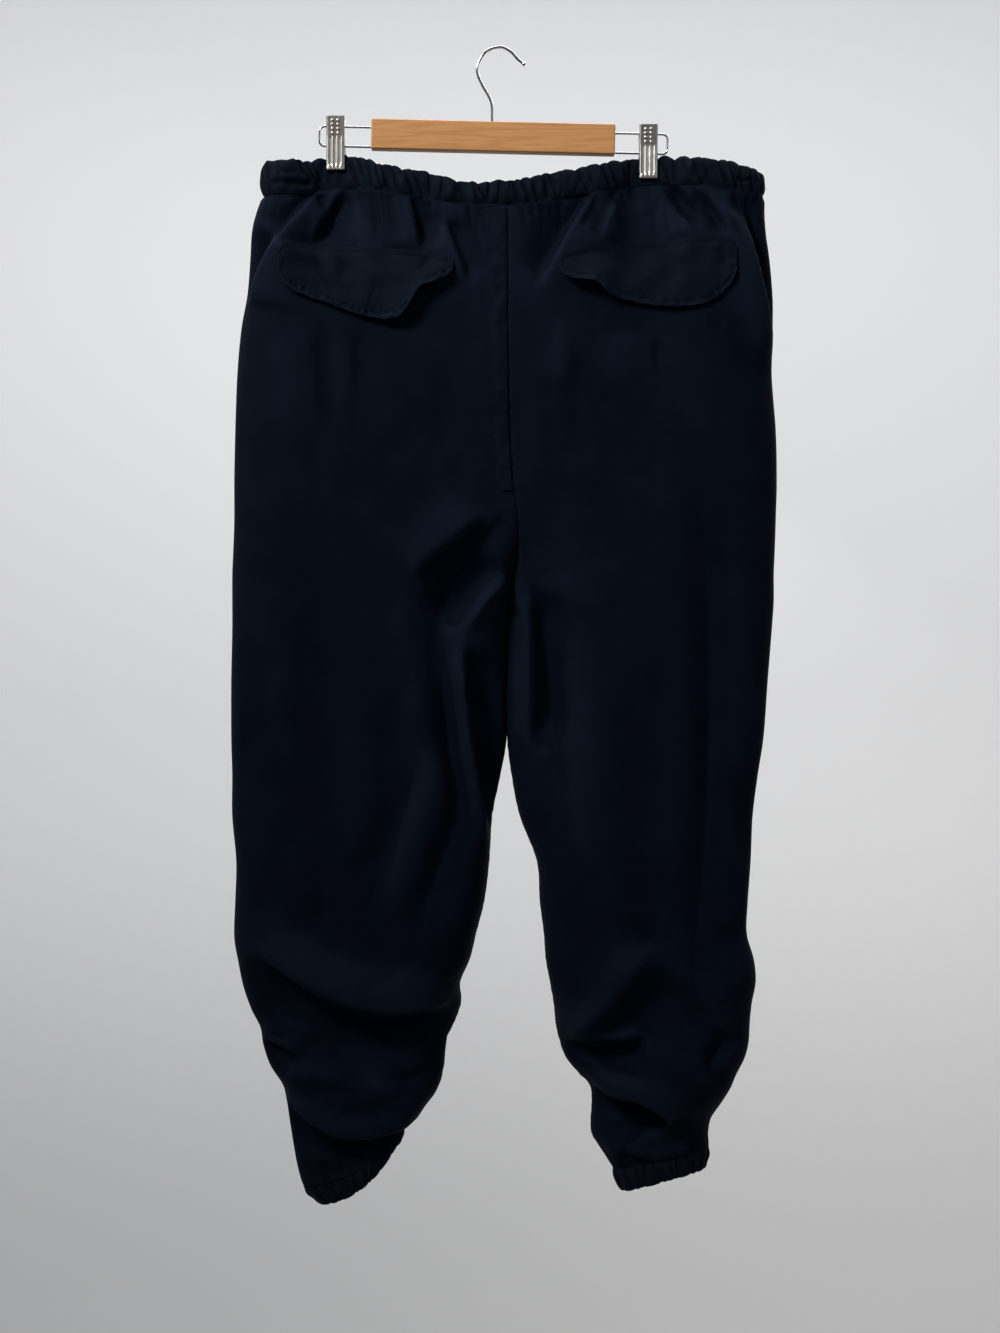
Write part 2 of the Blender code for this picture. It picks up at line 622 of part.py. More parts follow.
def make_waist_casing(side, parts):
    """One half of the waist casing, from the front seam round the side to the back."""
    level_ring = dict(x_out=CASING_END_X[side], z_in=CASING_RING_Z, z_out=CASING_RING_Z)
    top = SECTIONS[side][0]._replace(**level_ring)
    around = ring_at(top, side, WAIST_RING_POINTS)
    points, way = resample(around, gather_shares(WAIST_GATHERS, False))
    rings = []
    for k, (point, direction) in enumerate(zip(points, way)):
        out = np.array([direction[1], -direction[0]]) * -side
        out = out / np.linalg.norm(out)
        high, low = (waist_line(point[0], edge) for edge in ("top", "seam"))
        clipped = max(math.exp(-(((point[0] - x) / CLIP_HOLD) ** 4)) for x in CLIP_X.values())
        swell = WAIST_SWELL.middle + WAIST_SWELL.uneven * math.sin(k * WAIST_SWELL.wave)
        swell = swell * (1 - CLIPPED * clipped)
        profile = casing_profile(high - low, swell, k % 2 == 0, False)
        middle = (high + low) / 2
        ring = [
            (point[0] + out[0] * o, point[1] + out[1] * o, middle + up) for o, up in profile
        ]
        rings.append(ring)
    name = f"waist_casing_{SIDE_NAMES[side]}"
    return loft(name, rings, CASING_COTTON, parts, closed=True, capped=True)


def make_hem_casing(side, parts):
    """The gathered band that ends a leg."""
    upper = ring_at(SECTIONS[side][-1], side, HEM_RING_POINTS)
    lower = ring_at(HEM_ENDS[side], side, HEM_RING_POINTS)
    shares = gather_shares(HEM_GATHERS, True)
    tops, way = resample(upper, shares)
    ends, _ = resample(lower, shares)
    rings = []
    for k, (top, end, direction) in enumerate(zip(tops, ends, way)):
        down = end - top
        height = np.linalg.norm(down) - HEM_SEAM_GAP
        down = down / np.linalg.norm(down)
        out = np.cross(direction, down) * side
        out = out / np.linalg.norm(out)
        middle = end - down * height / 2
        swell = HEM_SWELL.middle + HEM_SWELL.uneven * math.sin(k * HEM_SWELL.wave)
        profile = casing_profile(height, swell, k % 2 == 0, True)
        rings.append([middle + out * o - down * up for o, up in profile])
    rings.append(rings[0])
    work = loft(f"hem_casing_{SIDE_NAMES[side]}", rings, CASING_COTTON, parts, closed=True)
    sewn = bmesh.new()
    sewn.from_mesh(work.data)
    bmesh.ops.remove_doubles(sewn, verts=sewn.verts, dist=SEWN_DISTANCE)
    bmesh.ops.recalc_face_normals(sewn, faces=sewn.faces)
    sewn.to_mesh(work.data)
    sewn.free()
    return work


# ---------------------------------------------------------------- what lies on the fronts
class Surface:
    """The outer surface of a panel, to lay other pieces on."""

    def __init__(self, panel):
        bpy.context.view_layer.update()
        graph = bpy.context.evaluated_depsgraph_get()
        self.tree = BVHTree.FromObject(panel, graph)

    def y(self, x, z):
        """How far forward the panel stands round a point of the front view."""
        found = []
        for dx, dz in itertools.product((-SPREAD, 0.0, SPREAD), repeat=2):
            start = Vector(((x + dx) * MM, RAY_START, (z + dz) * MM))
            place = self.tree.ray_cast(start, Vector((0.0, 1.0, 0.0)))[0]
            if place and place.y < 0:
                found.append(place.y / MM)
        return min(found)


def make_flap(side, panel, parts):
    surface = Surface(panel)
    rows = []
    lay = FLAP_CLEARANCE + FLAP_THICKNESS / 2
    for k in range(FLAP_ROWS):
        down = k / (FLAP_ROWS - 1)
        row = []
        for station in FLAPS[side]:
            z = station.top + down * (station.bottom - station.top)
            y = surface.y(station.x, z) - lay - station.lift * down**FLAP_CURL
            row.append((station.x, y, z))
        rows.append(row)
    flap = loft(f"flap_{SIDE_NAMES[side]}", rows, FLAP_COTTON, parts)
    return add_wall(flap, FLAP_THICKNESS)


def make_placket(panel, parts):
    surface = Surface(panel)
    lay = FLAP_CLEARANCE + PLACKET_THICKNESS / 2
    rows = []
    for station in PLACKET:
        xs = np.linspace(station.x_left, station.x_right, PLACKET_COLUMNS)
        rows.append([(x, surface.y(x, station.z) - lay, station.z) for x in xs])
    placket = loft("fly_placket", rows, COTTON, parts)
    return add_wall(placket, PLACKET_THICKNESS)


# ---------------------------------------------------------------- the hanger
def bar_to_world(x, z):
    """A point of the bar's own front view, in the part's frame."""
    cos, sin = math.cos(BAR_TILT), math.sin(BAR_TILT)
    return BAR_CENTRE[0] + x * cos + z * sin, BAR_CENTRE[2] - x * sin + z * cos


def make_wire(name, points, diameter, finish, parts, swell=()):
    """A round wire through points of the front view, its last ones swollen to a bead."""
    curve = bpy.data.curves.new(name, "CURVE")
    curve.dimensions = "3D"
    curve.bevel_depth = diameter / 2 * MM
    curve.bevel_resolution = WIRE_ROUNDNESS
    curve.use_fill_caps = True
    spline = curve.splines.new("POLY")
    spline.points.add(len(points) - 1)
    for place, (x, z) in zip(spline.points, points):
        place.co = (x * MM, 0.0, z * MM, 1.0)
    for place, size in zip(reversed(spline.points), reversed(swell)):
        place.radius = size
    return add_object(name, curve, finish, parts)


def make_bore(name, start, end, radius, cutters):
    """A cylinder that drills a bore between two points of the front view."""
    start = Vector((start[0], 0.0, start[1])) * MM
    end = Vector((end[0], 0.0, end[1])) * MM
    work = bmesh.new()
    length = (end - start).length
    bmesh.ops.create_cone(
        work,
        cap_ends=True,
        segments=BORE_SIDES,
        radius1=radius * MM,
        radius2=radius * MM,
        depth=length,
    )
    mesh = bpy.data.meshes.new(name)
    work.to_mesh(mesh)
    work.free()
    bore = bpy.data.objects.new(name, mesh)
    cutters.objects.link(bore)
    bore.location = (start + end) / 2
    bore.rotation_mode = "QUATERNION"
    bore.rotation_quaternion = (end - start).to_track_quat("Z", "Y")
    bore.hide_render = True
    bore.display_type = "WIRE"
    return bore


def make_bar(parts, cutters):
    work = bmesh.new()
    bmesh.ops.create_cube(work, size=1.0)
    bmesh.ops.scale(work, verts=work.verts, vec=Vector(BAR_SIZE) * MM)
    mesh = bpy.data.meshes.new("hanger_bar")
    work.to_mesh(mesh)
    work.free()
    bar = add_object("hanger_bar", mesh, BEECH, parts)
    bar.location = Vector(BAR_CENTRE) * MM
    bar.rotation_euler = (0.0, BAR_TILT, 0.0)
    edges = bar.modifiers.new("Rounded edges", "BEVEL")
    edges.width = BAR_EDGE * MM
    edges.segments = BAR_EDGE_STEPS
    bores = []
    stem = HOOK_WIRE / 2 + BORE_CLEARANCE
    deep = HOOK_POINTS[0][1] - BORE_CLEARANCE
    stem_x = HOOK_POINTS[0][0]
    bores.append(make_bore("bore_hook", (stem_x, deep), (stem_x, BORE_TOP), stem, cutters))
    wire = RAIL_WIRE / 2 + BORE_CLEARANCE
    half = BAR_SIZE[0] / 2
    for side in (RIGHT, LEFT):
        for k, height in enumerate(RAIL_HEIGHTS):
            inner = bar_to_world(side * (half - RAIL_BORE_DEPTH - BORE_CLEARANCE), height)
            outer = bar_to_world(side * (half + BORE_OVERRUN), height)
            name = f"bore_rail_{SIDE_NAMES[side]}_{k}"
            bores.append(make_bore(name, inner, outer, wire, cutters))
    for bore in bores:
        drill = bar.modifiers.new(bore.name, "BOOLEAN")
        drill.operation = "DIFFERENCE"
        drill.object = bore
    return bar


def make_hook(parts):
    path = smooth_path(HOOK_POINTS, HOOK_STEPS)
    return make_wire("hanger_hook", path, HOOK_WIRE, CHROME, parts, swell=HOOK_TIP_SWELL)


def make_rail(side, parts):
    """The wire loop that sticks out of one end of the bar and carries a clip."""
    half = BAR_SIZE[0] / 2
    start = side * (half - RAIL_BORE_DEPTH)
    high, low = RAIL_HEIGHTS
    bend = RAIL_BEND
    turn = RAIL_REACH[side] - side * bend
    points = [(start, high), (side * half, high)]
    for corner, first in ((high - bend, 90), (low + bend, 0)):
        for k in range(RAIL_BEND_STEPS + 1):
            angle = math.radians(first - 90 * k / RAIL_BEND_STEPS)
            points.append((turn + side * bend * math.cos(angle), corner + bend * math.sin(angle)))
    points += [(side * half, low), (start, low)]
    world = [bar_to_world(x, z) for x, z in points]
    return make_wire(f"hanger_rail_{SIDE_NAMES[side]}", world, RAIL_WIRE, CHROME, parts)


def make_jaw(side, face, parts):
    """One sheet-metal jaw of a clip: a plate with its two long edges folded in."""
    half = JAW_WIDTH / 2
    x, z = CLIP_X[side], CLIP_MID_Z[side]
    rows = []
    for station in JAW:
        plate = face * station.plate
        flange = face * (station.front_flange if face == FRONT else station.back_flange)
        height = z + station.height
        rows.append(
            (
                (x - half, flange, height),
                (x - half, plate - face * JAW_CORNER, height),
                (x - half + 2 * JAW_CORNER, plate, height),
                (x + half - 2 * JAW_CORNER, plate, height),
                (x + half, plate - face * JAW_CORNER, height),
                (x + half, flange, height),
            )
        )
    name = f"clip_{FACE_NAMES[face]}_jaw_{SIDE_NAMES[side]}"
    return add_wall(loft(name, rows, NICKEL, parts), JAW_SHEET)


def make_spring(side, parts):
    """A clip's spring on its pin, turned about the pin."""
    half_spring, half_pin = SPRING_LENGTH / 2, PIN_LENGTH / 2
    profile = (
        (0.0, -half_pin),
        (PIN_RADIUS, -half_pin),
        (PIN_RADIUS, -half_spring),
        (SPRING_RADIUS, -half_spring),
        (SPRING_RADIUS, half_spring),
        (PIN_RADIUS, half_spring),
        (PIN_RADIUS, half_pin),
        (0.0, half_pin),
    )
    name = f"clip_spring_{SIDE_NAMES[side]}"
    mesh = bpy.data.meshes.new(name)
    verts = [(radius * MM, 0.0, -along * MM) for radius, along in profile]
    mesh.from_pydata(verts, [(k, k + 1) for k in range(len(verts) - 1)], [])
    spring = add_object(name, mesh, NICKEL, parts)
    spring.location = Vector((CLIP_X[side], 0.0, CLIP_MID_Z[side] + SPRING_HEIGHT)) * MM
    spring.rotation_euler = (0.0, math.pi / 2, 0.0)
    turned = spring.modifiers.new("Turned", "SCREW")
    turned.steps = turned.render_steps = SPRING_SIDES
    turned.use_merge_vertices = True
    turned.merge_threshold = SCREW_MERGE
    return spring


def main():
    clear_scene()
    parts = new_collection("parachute pants")
    cutters = new_collection("cutters")
    panels = make_panels(parts)
    for side in (RIGHT, LEFT):
        make_waist_casing(side, parts)
        make_hem_casing(side, parts)
        make_flap(side, panels[FRONT, side], parts)
    make_placket(panels[FRONT, RIGHT], parts)
    make_bar(parts, cutters)
    make_hook(parts)
    for side in (RIGHT, LEFT):
        make_rail(side, parts)
        make_spring(side, parts)
        for face in (FRONT, BACK):
            make_jaw(side, face, parts)


main()
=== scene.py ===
"""Parachute pants on a clip hanger: the cloth, its sewing and the hanger's finishes.

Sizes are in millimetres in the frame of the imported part: +Z up, front towards -Y, wearer's
right towards -X, and the origin under the top of the hook. MM turns them into metres.
"""

import math
from collections import namedtuple

import bmesh
import bpy
import numpy as np
from bpy.props import FloatProperty, FloatVectorProperty, IntProperty, PointerProperty
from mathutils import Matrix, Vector
from mathutils.bvhtree import BVHTree


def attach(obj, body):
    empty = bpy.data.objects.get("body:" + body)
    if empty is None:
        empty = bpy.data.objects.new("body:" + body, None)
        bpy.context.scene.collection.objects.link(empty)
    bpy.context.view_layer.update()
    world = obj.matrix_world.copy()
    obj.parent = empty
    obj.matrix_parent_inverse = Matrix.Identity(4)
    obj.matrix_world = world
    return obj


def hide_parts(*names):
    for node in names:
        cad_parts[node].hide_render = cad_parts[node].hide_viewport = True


bl_info = {
    "name": "Parachute pants on a clip hanger",
    "version": (1, 0, 0),
    "blender": (4, 5, 0),
    "location": "3D View > Sidebar > Pants",
    "description": "Makes the cloth, sewing and hanger of a pair of parachute pants",
    "category": "Object",
}

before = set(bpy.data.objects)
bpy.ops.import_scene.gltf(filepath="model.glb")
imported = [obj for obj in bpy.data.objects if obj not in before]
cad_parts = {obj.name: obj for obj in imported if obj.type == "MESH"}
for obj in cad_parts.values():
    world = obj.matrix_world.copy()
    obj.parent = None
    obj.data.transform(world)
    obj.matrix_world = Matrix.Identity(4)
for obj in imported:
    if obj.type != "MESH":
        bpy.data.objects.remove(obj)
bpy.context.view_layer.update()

MM = 0.001
FRONT, BACK = -1, 1
RIGHT, LEFT = -1, 1
SIDE_NAMES = {RIGHT: "right", LEFT: "left"}
FACE_NAMES = {FRONT: "front", BACK: "back"}
SIDES = RIGHT, LEFT
FACES = FRONT, BACK


def named_rows(kind, rows):
    """A table's rows, with the names of its columns."""
    return tuple(kind(*row) for row in rows)


# ------------------------------------------------------------ the form that the solids have
SEAM_LAP = 0.2         # how far pieces that are sewn together run over each other
NOSE_GAP = -0.2        # half the gap between a front and a back at the side: they lap over
NOSE_ROUND = 1.25      # how full the rounded side edges are
APEX = 0.5             # where a leg is deepest, from its inner to its outer edge
TURN_SPREAD = 4.0      # how soon the two legs part where the rise seam turns under
SEAM_EASE = 0.10       # share of a panel's width over which its folds fade at a seam
CLIP_X = {RIGHT: -163.9, LEFT: 148.1}
CLIP_MID_Z = {RIGHT: -96.5, LEFT: -105.0}
PINCH_WIDTH = 34.0     # how far a clip draws the waist flat, to each side
PINCH_REACH = 55.0     # and how far down
CLIP_HOLD = 17.0       # how far to each side a jaw presses the casing thin
JAW_WIDTH = 17.6
PINCHED_DEPTH = 2.8    # half depth of the waist between a clip's jaws
WAIST_REACH = 60.0     # how far down the panels follow the waist seam's own line
TUCK = 2.0             # how far a panel runs up inside the casing


# ------------------------------------------------------------ how finely the looks are drawn
RAY_START = 200.0          # how far outside rays towards a surface start
CASING_END_X = {RIGHT: -235.6, LEFT: 261.4}
CASING_POINTS = 23         # up a casing's outside, from its seam to its free edge
WAIST_STATIONS = 620       # along half the waist
HEM_STATIONS = 400         # round an ankle
CASING_HEIGHT = 38.0       # over which a waist gather leans from its top to the seam
HELD_FLAT = 3.5            # how far a seam holds the cloth beside it flat
FULLNESS = 2.6             # how far the gathered cloth puffs out below a seam
FULL_REACH = 26.0          # and how far down
DEEPEST_PLEAT = 4.6
CASING_SPREAD = 5.0        # the soft shoulders of a casing's pleats
DENT_WIDTH = 0.08          # of a fold along a casing, as a share of its height
PANEL_GATHER = 1.5         # how much deeper the gathers are below the seam than in the casing
LIP_SHARE = 0.55           # how sharp the folds' edges are, as a share of the solids' own
INSEAM_STAND = 0.5         # how far a leg's inseam stands off the middle between the legs
PLEAT_RISE = 0.5           # how far the casing's edge stands up between its pleats
BUNCHED_BELOW = -915.0     # where the cloth bunches above the ankles
TOP_EASE = 28.0            # lengths over which a panel's folds fade at the waist and the hem
HEM_EASE = 20.0
PUCKER_WAVE = 11.0
PUCKER_HEIGHT = 0.45
PUCKER_REACH = 7.0
FORK = (12.0, -515.0)      # the middle of the creases that the crotch draws
RISE_GROOVE = 1.8          # half width of the groove along the front and back rise seam
FLAP_COLUMNS = 110
FLAP_ROWS = 36
FLAP_WALL = 1.3
FLAP_CLEARANCE = 0.6
STITCH_INSET = 6.0         # of a flap's stitching from its edge
WELT_INSET = 5.5
PLACKET_WALL = 0.8
PLACKET_CLEARANCE = 0.15
PLACKET_SINK = 1.0         # how far its free edge is pressed into the front
TAB_FOOT = -172.0          # where the tab at its top ends

# The stage, in metres
VIEW_HEIGHT = 1.333        # how much of the garment's plane the picture shows
VIEW_MIDDLE = -0.618
SENSOR_HEIGHT = 24.0       # in millimetres
BACKDROP_FAR = 3.2
BACKDROP_NEAR = 4.0
BACKDROP_HALF = 5.0
BACKDROP_CURVE = 1.6
BACKDROP_STEPS = 16
BACKDROP_FLOOR = -2.3
BACKDROP_TOP = 3.2
AMBIENT = "#eef1f4"
AMBIENT_STRENGTH = 0.11
# Each light's place, what it points at, its size, power, spread in degrees and colour
LIGHTS = (
    ("key", (-1.8, -1.65, 1.55), (0.0, 0.0, -0.08), (0.9, 0.9), 7.8, 46.0, "#fffaf4"),
    ("fill", (2.2, -2.0, 0.9), (0.0, 0.0, -0.3), (1.4, 1.8), 11.0, 180.0, "#eef4ff"),
    ("top", (0.0, 0.3, 2.2), (0.0, 0.0, -0.3), (2.4, 1.2), 34.0, 180.0, "#ffffff"),
    ("wall", (0.0, 0.8, 1.5), (0.0, 3.2, -3.0), (7.0, 1.0), 138.0, 180.0, "#ffffff"),
    ("back", (1.0, 2.6, 0.8), (0.0, 0.0, -0.6), (2.0, 1.4), 26.0, 180.0, "#ffffff"),
)

# One row for each level down a leg: the outer and inner edge of the leg as seen from the
# front, how far the level sags between them, how far the front and the back stand out, and
# how far the inner edge has turned from the rise seam (0) to the inseam (1).
Section = namedtuple("Section", "x_out z_out x_in z_in sag front back turn")
RIGHT_SECTIONS = named_rows(Section, (
    (-234, -149, 8, -160, 0, 14, 14, 0), (-242, -168, 8, -177, 0, 18, 18, 0),
    (-247, -187, 8, -195, 0, 21, 21, 0), (-249, -214, 8, -220, 0, 25, 25, 0),
    (-252, -248, 8, -250, 0, 28, 29, 0), (-258, -282, 8, -284, 0, 30, 32, 0),
    (-262, -327, 9, -328, 0, 32, 34, 0), (-264, -382, 10, -382, 0, 33, 36, 0),
    (-265, -432, 13, -432, 0, 34, 37, 0), (-265, -472, 17, -470, 0, 35, 37, 0.06),
    (-266, -502, 18, -499, 0, 35, 37, 0.35), (-267, -527, 14, -526, 0, 35, 37, 0.75),
    (-267, -552, 9, -550, 0, 35, 37, 1), (-267, -582, 7, -582, 0, 35, 36, 1),
    (-268, -632, 7, -632, 0, 35, 36, 1), (-268, -687, 6.6, -687, 0, 35, 35, 1),
    (-267, -727, 0, -727, 0, 35, 35, 1), (-267, -767, -8, -767, 2, 35, 35, 1),
    (-263, -812, -11, -812, 4, 36, 35, 1), (-264, -852, -16, -852, 8, 37, 36, 1),
    (-265, -887, -24, -884, 13, 40, 37, 1), (-261, -912, -30, -909, 18, 43, 39, 1),
    (-256, -937, -40, -933, 23, 44, 42, 1), (-248, -960, -39, -952, 26, 41, 43, 1),
    (-239, -978, -45, -971, 27, 35, 41, 1), (-236, -996, -53, -988, 26, 33, 37, 1),
    (-229, -1016, -55, -1003, 24, 36, 35, 1), (-217, -1034, -57, -1021, 22, 39, 37, 1),
    (-213, -1049, -63, -1040, 20, 38, 38, 1), (-210, -1069, -76, -1057, 17, 33, 35, 1),
    (-206, -1095, -88, -1067, 14, 29, 30, 1), (-202, -1117, -93, -1072, 12, 26, 26, 1),
    (-196, -1136, -96, -1078, 11, 23, 23, 1),
))
LEFT_SECTIONS = named_rows(Section, (
    (262, -148, 8, -160, 0, 14, 14, 0), (263, -168, 8, -177, 0, 18, 18, 0),
    (265, -187, 8, -195, 0, 21, 21, 0), (269, -214, 8, -220, 0, 25, 25, 0),
    (272, -250, 8, -250, 0, 28, 29, 0), (272, -284, 8, -284, 0, 30, 32, 0),
    (271, -328, 9, -328, 0, 32, 34, 0), (275, -382, 10, -382, 0, 33, 36, 0),
    (276, -432, 13, -432, 0, 34, 37, 0), (275, -472, 17, -470, 0, 35, 37, 0.06),
    (274, -502, 18, -499, 0, 35, 37, 0.35), (273, -527, 14, -526, 0, 35, 37, 0.75),
    (273, -552, 9, -550, 0, 35, 37, 1), (271, -582, 7, -582, 0, 35, 36, 1),
    (267, -632, 7, -632, 0, 35, 36, 1), (263, -687, 7.2, -687, 0, 35, 35, 1),
    (257, -727, 12, -727, 0, 35, 35, 1), (252, -767, 20, -767, 2, 35, 35, 1),
    (250, -812, 37, -812, 3, 35, 35, 1), (247, -852, 40, -852, 5, 36, 36, 1),
    (246, -884, 44, -884, 7, 37, 37, 1), (253, -910, 46, -910, 9, 38, 40, 1),
    (255, -932, 50, -932, 11, 37, 42, 1), (251, -954, 54, -955, 12, 36, 42, 1),
    (249, -974, 56, -975, 12, 37, 39, 1), (248, -992, 60, -992, 12, 39, 36, 1),
    (244, -1008, 66, -1008, 11, 41, 36, 1), (236, -1024, 78, -1023, 10, 41, 38, 1),
    (230, -1038, 90, -1036, 9, 38, 38, 1), (221, -1053, 92, -1052, 7, 33, 35, 1),
    (211, -1068, 91, -1068, 5, 30, 31, 1), (208, -1081, 92, -1085, 3, 27, 27, 1),
    (208, -1090, 103, -1102, 1, 24, 24, 1), (208, -1097, 113, -1118, 0, 21, 21, 1),
))
SECTIONS = {RIGHT: RIGHT_SECTIONS, LEFT: LEFT_SECTIONS}

# The free lower edge of each hem casing.
HEM_ENDS = {
    RIGHT: Section(-179, -1154, -103, -1094, 11, 24, 24, 1.00),
    LEFT: Section(205, -1118, 122, -1141, -2, 22, 22, 1.00),
}

# The waist seam and the casing's top edge, across the whole front.
Waist = namedtuple("Waist", "x top seam")
WAIST = named_rows(Waist, (
    (-240, -121, -147), (-232, -115, -149), (-201, -114, -149), (-173, -112, -144), (-155, -107, -140),
    (-137, -111, -142), (-113, -120, -147), (-89, -124, -151), (-65, -129, -155), (-35, -137, -159),
    (7, -136, -160), (37, -130, -157), (73, -124, -151), (109, -116, -144), (139, -111, -138),
    (163, -109, -136), (193, -112, -140), (223, -115, -144), (247, -121, -148), (265, -128, -149),
))

# Folds, as curves over the front view through a start, a middle and an end. On the left of
# the way along it a fold rises softly over its reach; on the right it falls away within its
# lip and the cloth beyond drops by its drop. A trough has a rise below zero.
Fold = namedtuple("Fold", "x0 z0 x1 z1 x2 z2 rise drop reach lip")
FOLDS = {
    (FRONT, RIGHT): named_rows(Fold, (
        (-216, -187, -235, -224, -249, -262, 8, 10, 34, 9),
        (-174, -134, -196, -164, -220, -196, 5, 7, 16, 6),
        (-190, -200, -172, -164, -154, -134, 4, 7, 14, 6), (-80, -208, -86, -172, -93, -144, 5, 7, 22, 6),
        (-32, -240, -44, -208, -58, -172, 4, 6, 20, 6), (-90, -530, -50, -496, -10, -466, 4, 8, 26, 12),
        (-6, -500, -56, -560, -62, -660, -12, 0, 26, 26), (-60, -580, -50, -690, -28, -806, -16, 0, 16, 16),
        (-36, -660, -84, -780, -132, -900, 10, 0, 24, 24),
        (-28, -700, -56, -800, -94, -912, -10, 0, 18, 18),
        (-70, -690, -112, -800, -138, -900, -8, 0, 22, 22), (11, -524, -16, -551, -38, -590, 8, 13, 14, 12),
        (-8, -812, -30, -690, -38, -588, 9, 15, 11, 12),
        (-246, -888, -136, -952, -38, -940, 11, 24, 42, 14),
        (-242, -984, -221, -990, -196, -1000, 5, 8, 12, 7),
        (-122, -1015, -86, -1024, -54, -1008, -9, 0, 14, 14),
        (-214, -1030, -150, -1078, -62, -1050, 9, 11, 18, 10),
    )),
    (FRONT, LEFT): named_rows(Fold, (
        (276, -330, 257, -240, 234, -138, 8, 13, 26, 9), (103, -138, 74, -180, 38, -250, 6, 11, 20, 9),
        (128, -134, 112, -162, 100, -200, 4, 4, 22, 8), (192, -190, 172, -162, 155, -134, 4, 5, 26, 8),
        (194, -138, 214, -160, 230, -192, 5, 7, 14, 6), (186, -380, 208, -700, 172, -1020, -16, 0, 32, 32),
        (28, -706, 30, -620, 25, -534, 3, 13, 12, 12), (38, -536, 44, -650, 84, -790, -9, 0, 17, 17),
        (60, -560, 84, -740, 128, -930, 7, 0, 34, 34), (66, -992, 106, -950, 156, -888, 7, 12, 34, 22),
        (66, -980, 104, -986, 145, -978, 6, 13, 16, 9), (250, -978, 211, -1004, 232, -1032, -9, 0, 11, 11),
        (86, -1034, 139, -1044, 170, -1072, 10, 17, 22, 8),
        (122, -1090, 152, -1104, 206, -1090, 5, 8, 12, 7),
    )),
    (BACK, RIGHT): named_rows(Fold, (
        (-205, -160, -214, -215, -236, -290, 6, 6, 32, 10),
        (-150, -140, -128, -190, -118, -250, -9, 0, 13, 13),
        (-108, -150, -95, -200, -92, -260, 7, 0, 15, 15), (-70, -158, -62, -195, -60, -240, -9, 0, 13, 13),
        (-30, -162, -28, -190, -25, -225, 4, 0, 12, 12), (0, -470, -62, -530, -84, -620, -12, 0, 28, 28),
        (-70, -610, -60, -700, -88, -790, -10, 0, 22, 22),
        (-190, -380, -196, -560, -186, -760, -5, 0, 30, 30),
        (-256, -914, -150, -972, -42, -944, 10, 17, 40, 15),
        (-222, -1012, -140, -1034, -56, -1000, 7, 10, 20, 13),
        (-206, -1062, -150, -1082, -96, -1052, 4, 5, 13, 9),
    )),
    (BACK, LEFT): named_rows(Fold, (
        (236, -290, 216, -215, 205, -160, 6, 6, 32, 10), (135, -140, 118, -190, 108, -250, -9, 0, 13, 13),
        (160, -140, 170, -190, 172, -240, 7, 0, 15, 15), (95, -148, 82, -200, 76, -260, 7, 0, 14, 14),
        (50, -156, 45, -195, 42, -240, -9, 0, 13, 13), (16, -470, 76, -530, 98, -620, -12, 0, 28, 28),
        (84, -610, 74, -700, 100, -790, -10, 0, 22, 22), (200, -380, 206, -560, 196, -760, -5, 0, 30, 30),
        (56, -936, 160, -990, 256, -962, 10, 16, 40, 15), (80, -1038, 150, -1056, 234, -1018, 7, 9, 18, 12),
    )),
}

# Pocket flaps: their upper and lower edge, and how far the lower edge curls off the leg.
Flap = namedtuple("Flap", "x top bottom lift")
FLAPS = {
    RIGHT: named_rows(Flap, (
        (-218, -214, -227, 1), (-214, -202, -238, 1.5), (-200, -200, -250, 2), (-180, -201, -257, 2.5),
        (-156, -202, -266, 3), (-132, -203, -274, 4), (-111, -205, -277, 7), (-99, -206, -275, 10),
        (-90, -207, -264, 13), (-77, -209, -245, 12), (-61, -212, -239, 8), (-49, -216, -231, 3),
        (-46, -219, -225, 2),
    )),
    LEFT: named_rows(Flap, (
        (57, -218, -222, 2), (62, -213, -232, 5), (71, -209, -237, 9), (84, -206, -239, 13),
        (94, -205, -241, 14), (105, -203, -251, 11), (117, -201, -256, 5), (139, -199, -261, 3.5),
        (164, -197, -264, 3), (189, -194, -263, 2.5), (203, -193, -260, 2), (215, -193, -253, 1.5),
        (227, -196, -241, 1.5), (233, -208, -228, 1),
    )),
}

# The fly placket, which narrows downwards beside the front seam.
Placket = namedtuple("Placket", "z x_left x_right")
PLACKET = named_rows(Placket, (
    (-163, -15, 7), (-168, -15, 7), (-190, -13, 7), (-215, -12, 7), (-250, -10, 7), (-285, -9, 7.4),
    (-330, -8, 8), (-380, -7, 8.8), (-420, -5, 10.6), (-446, 0, 12.6),
))

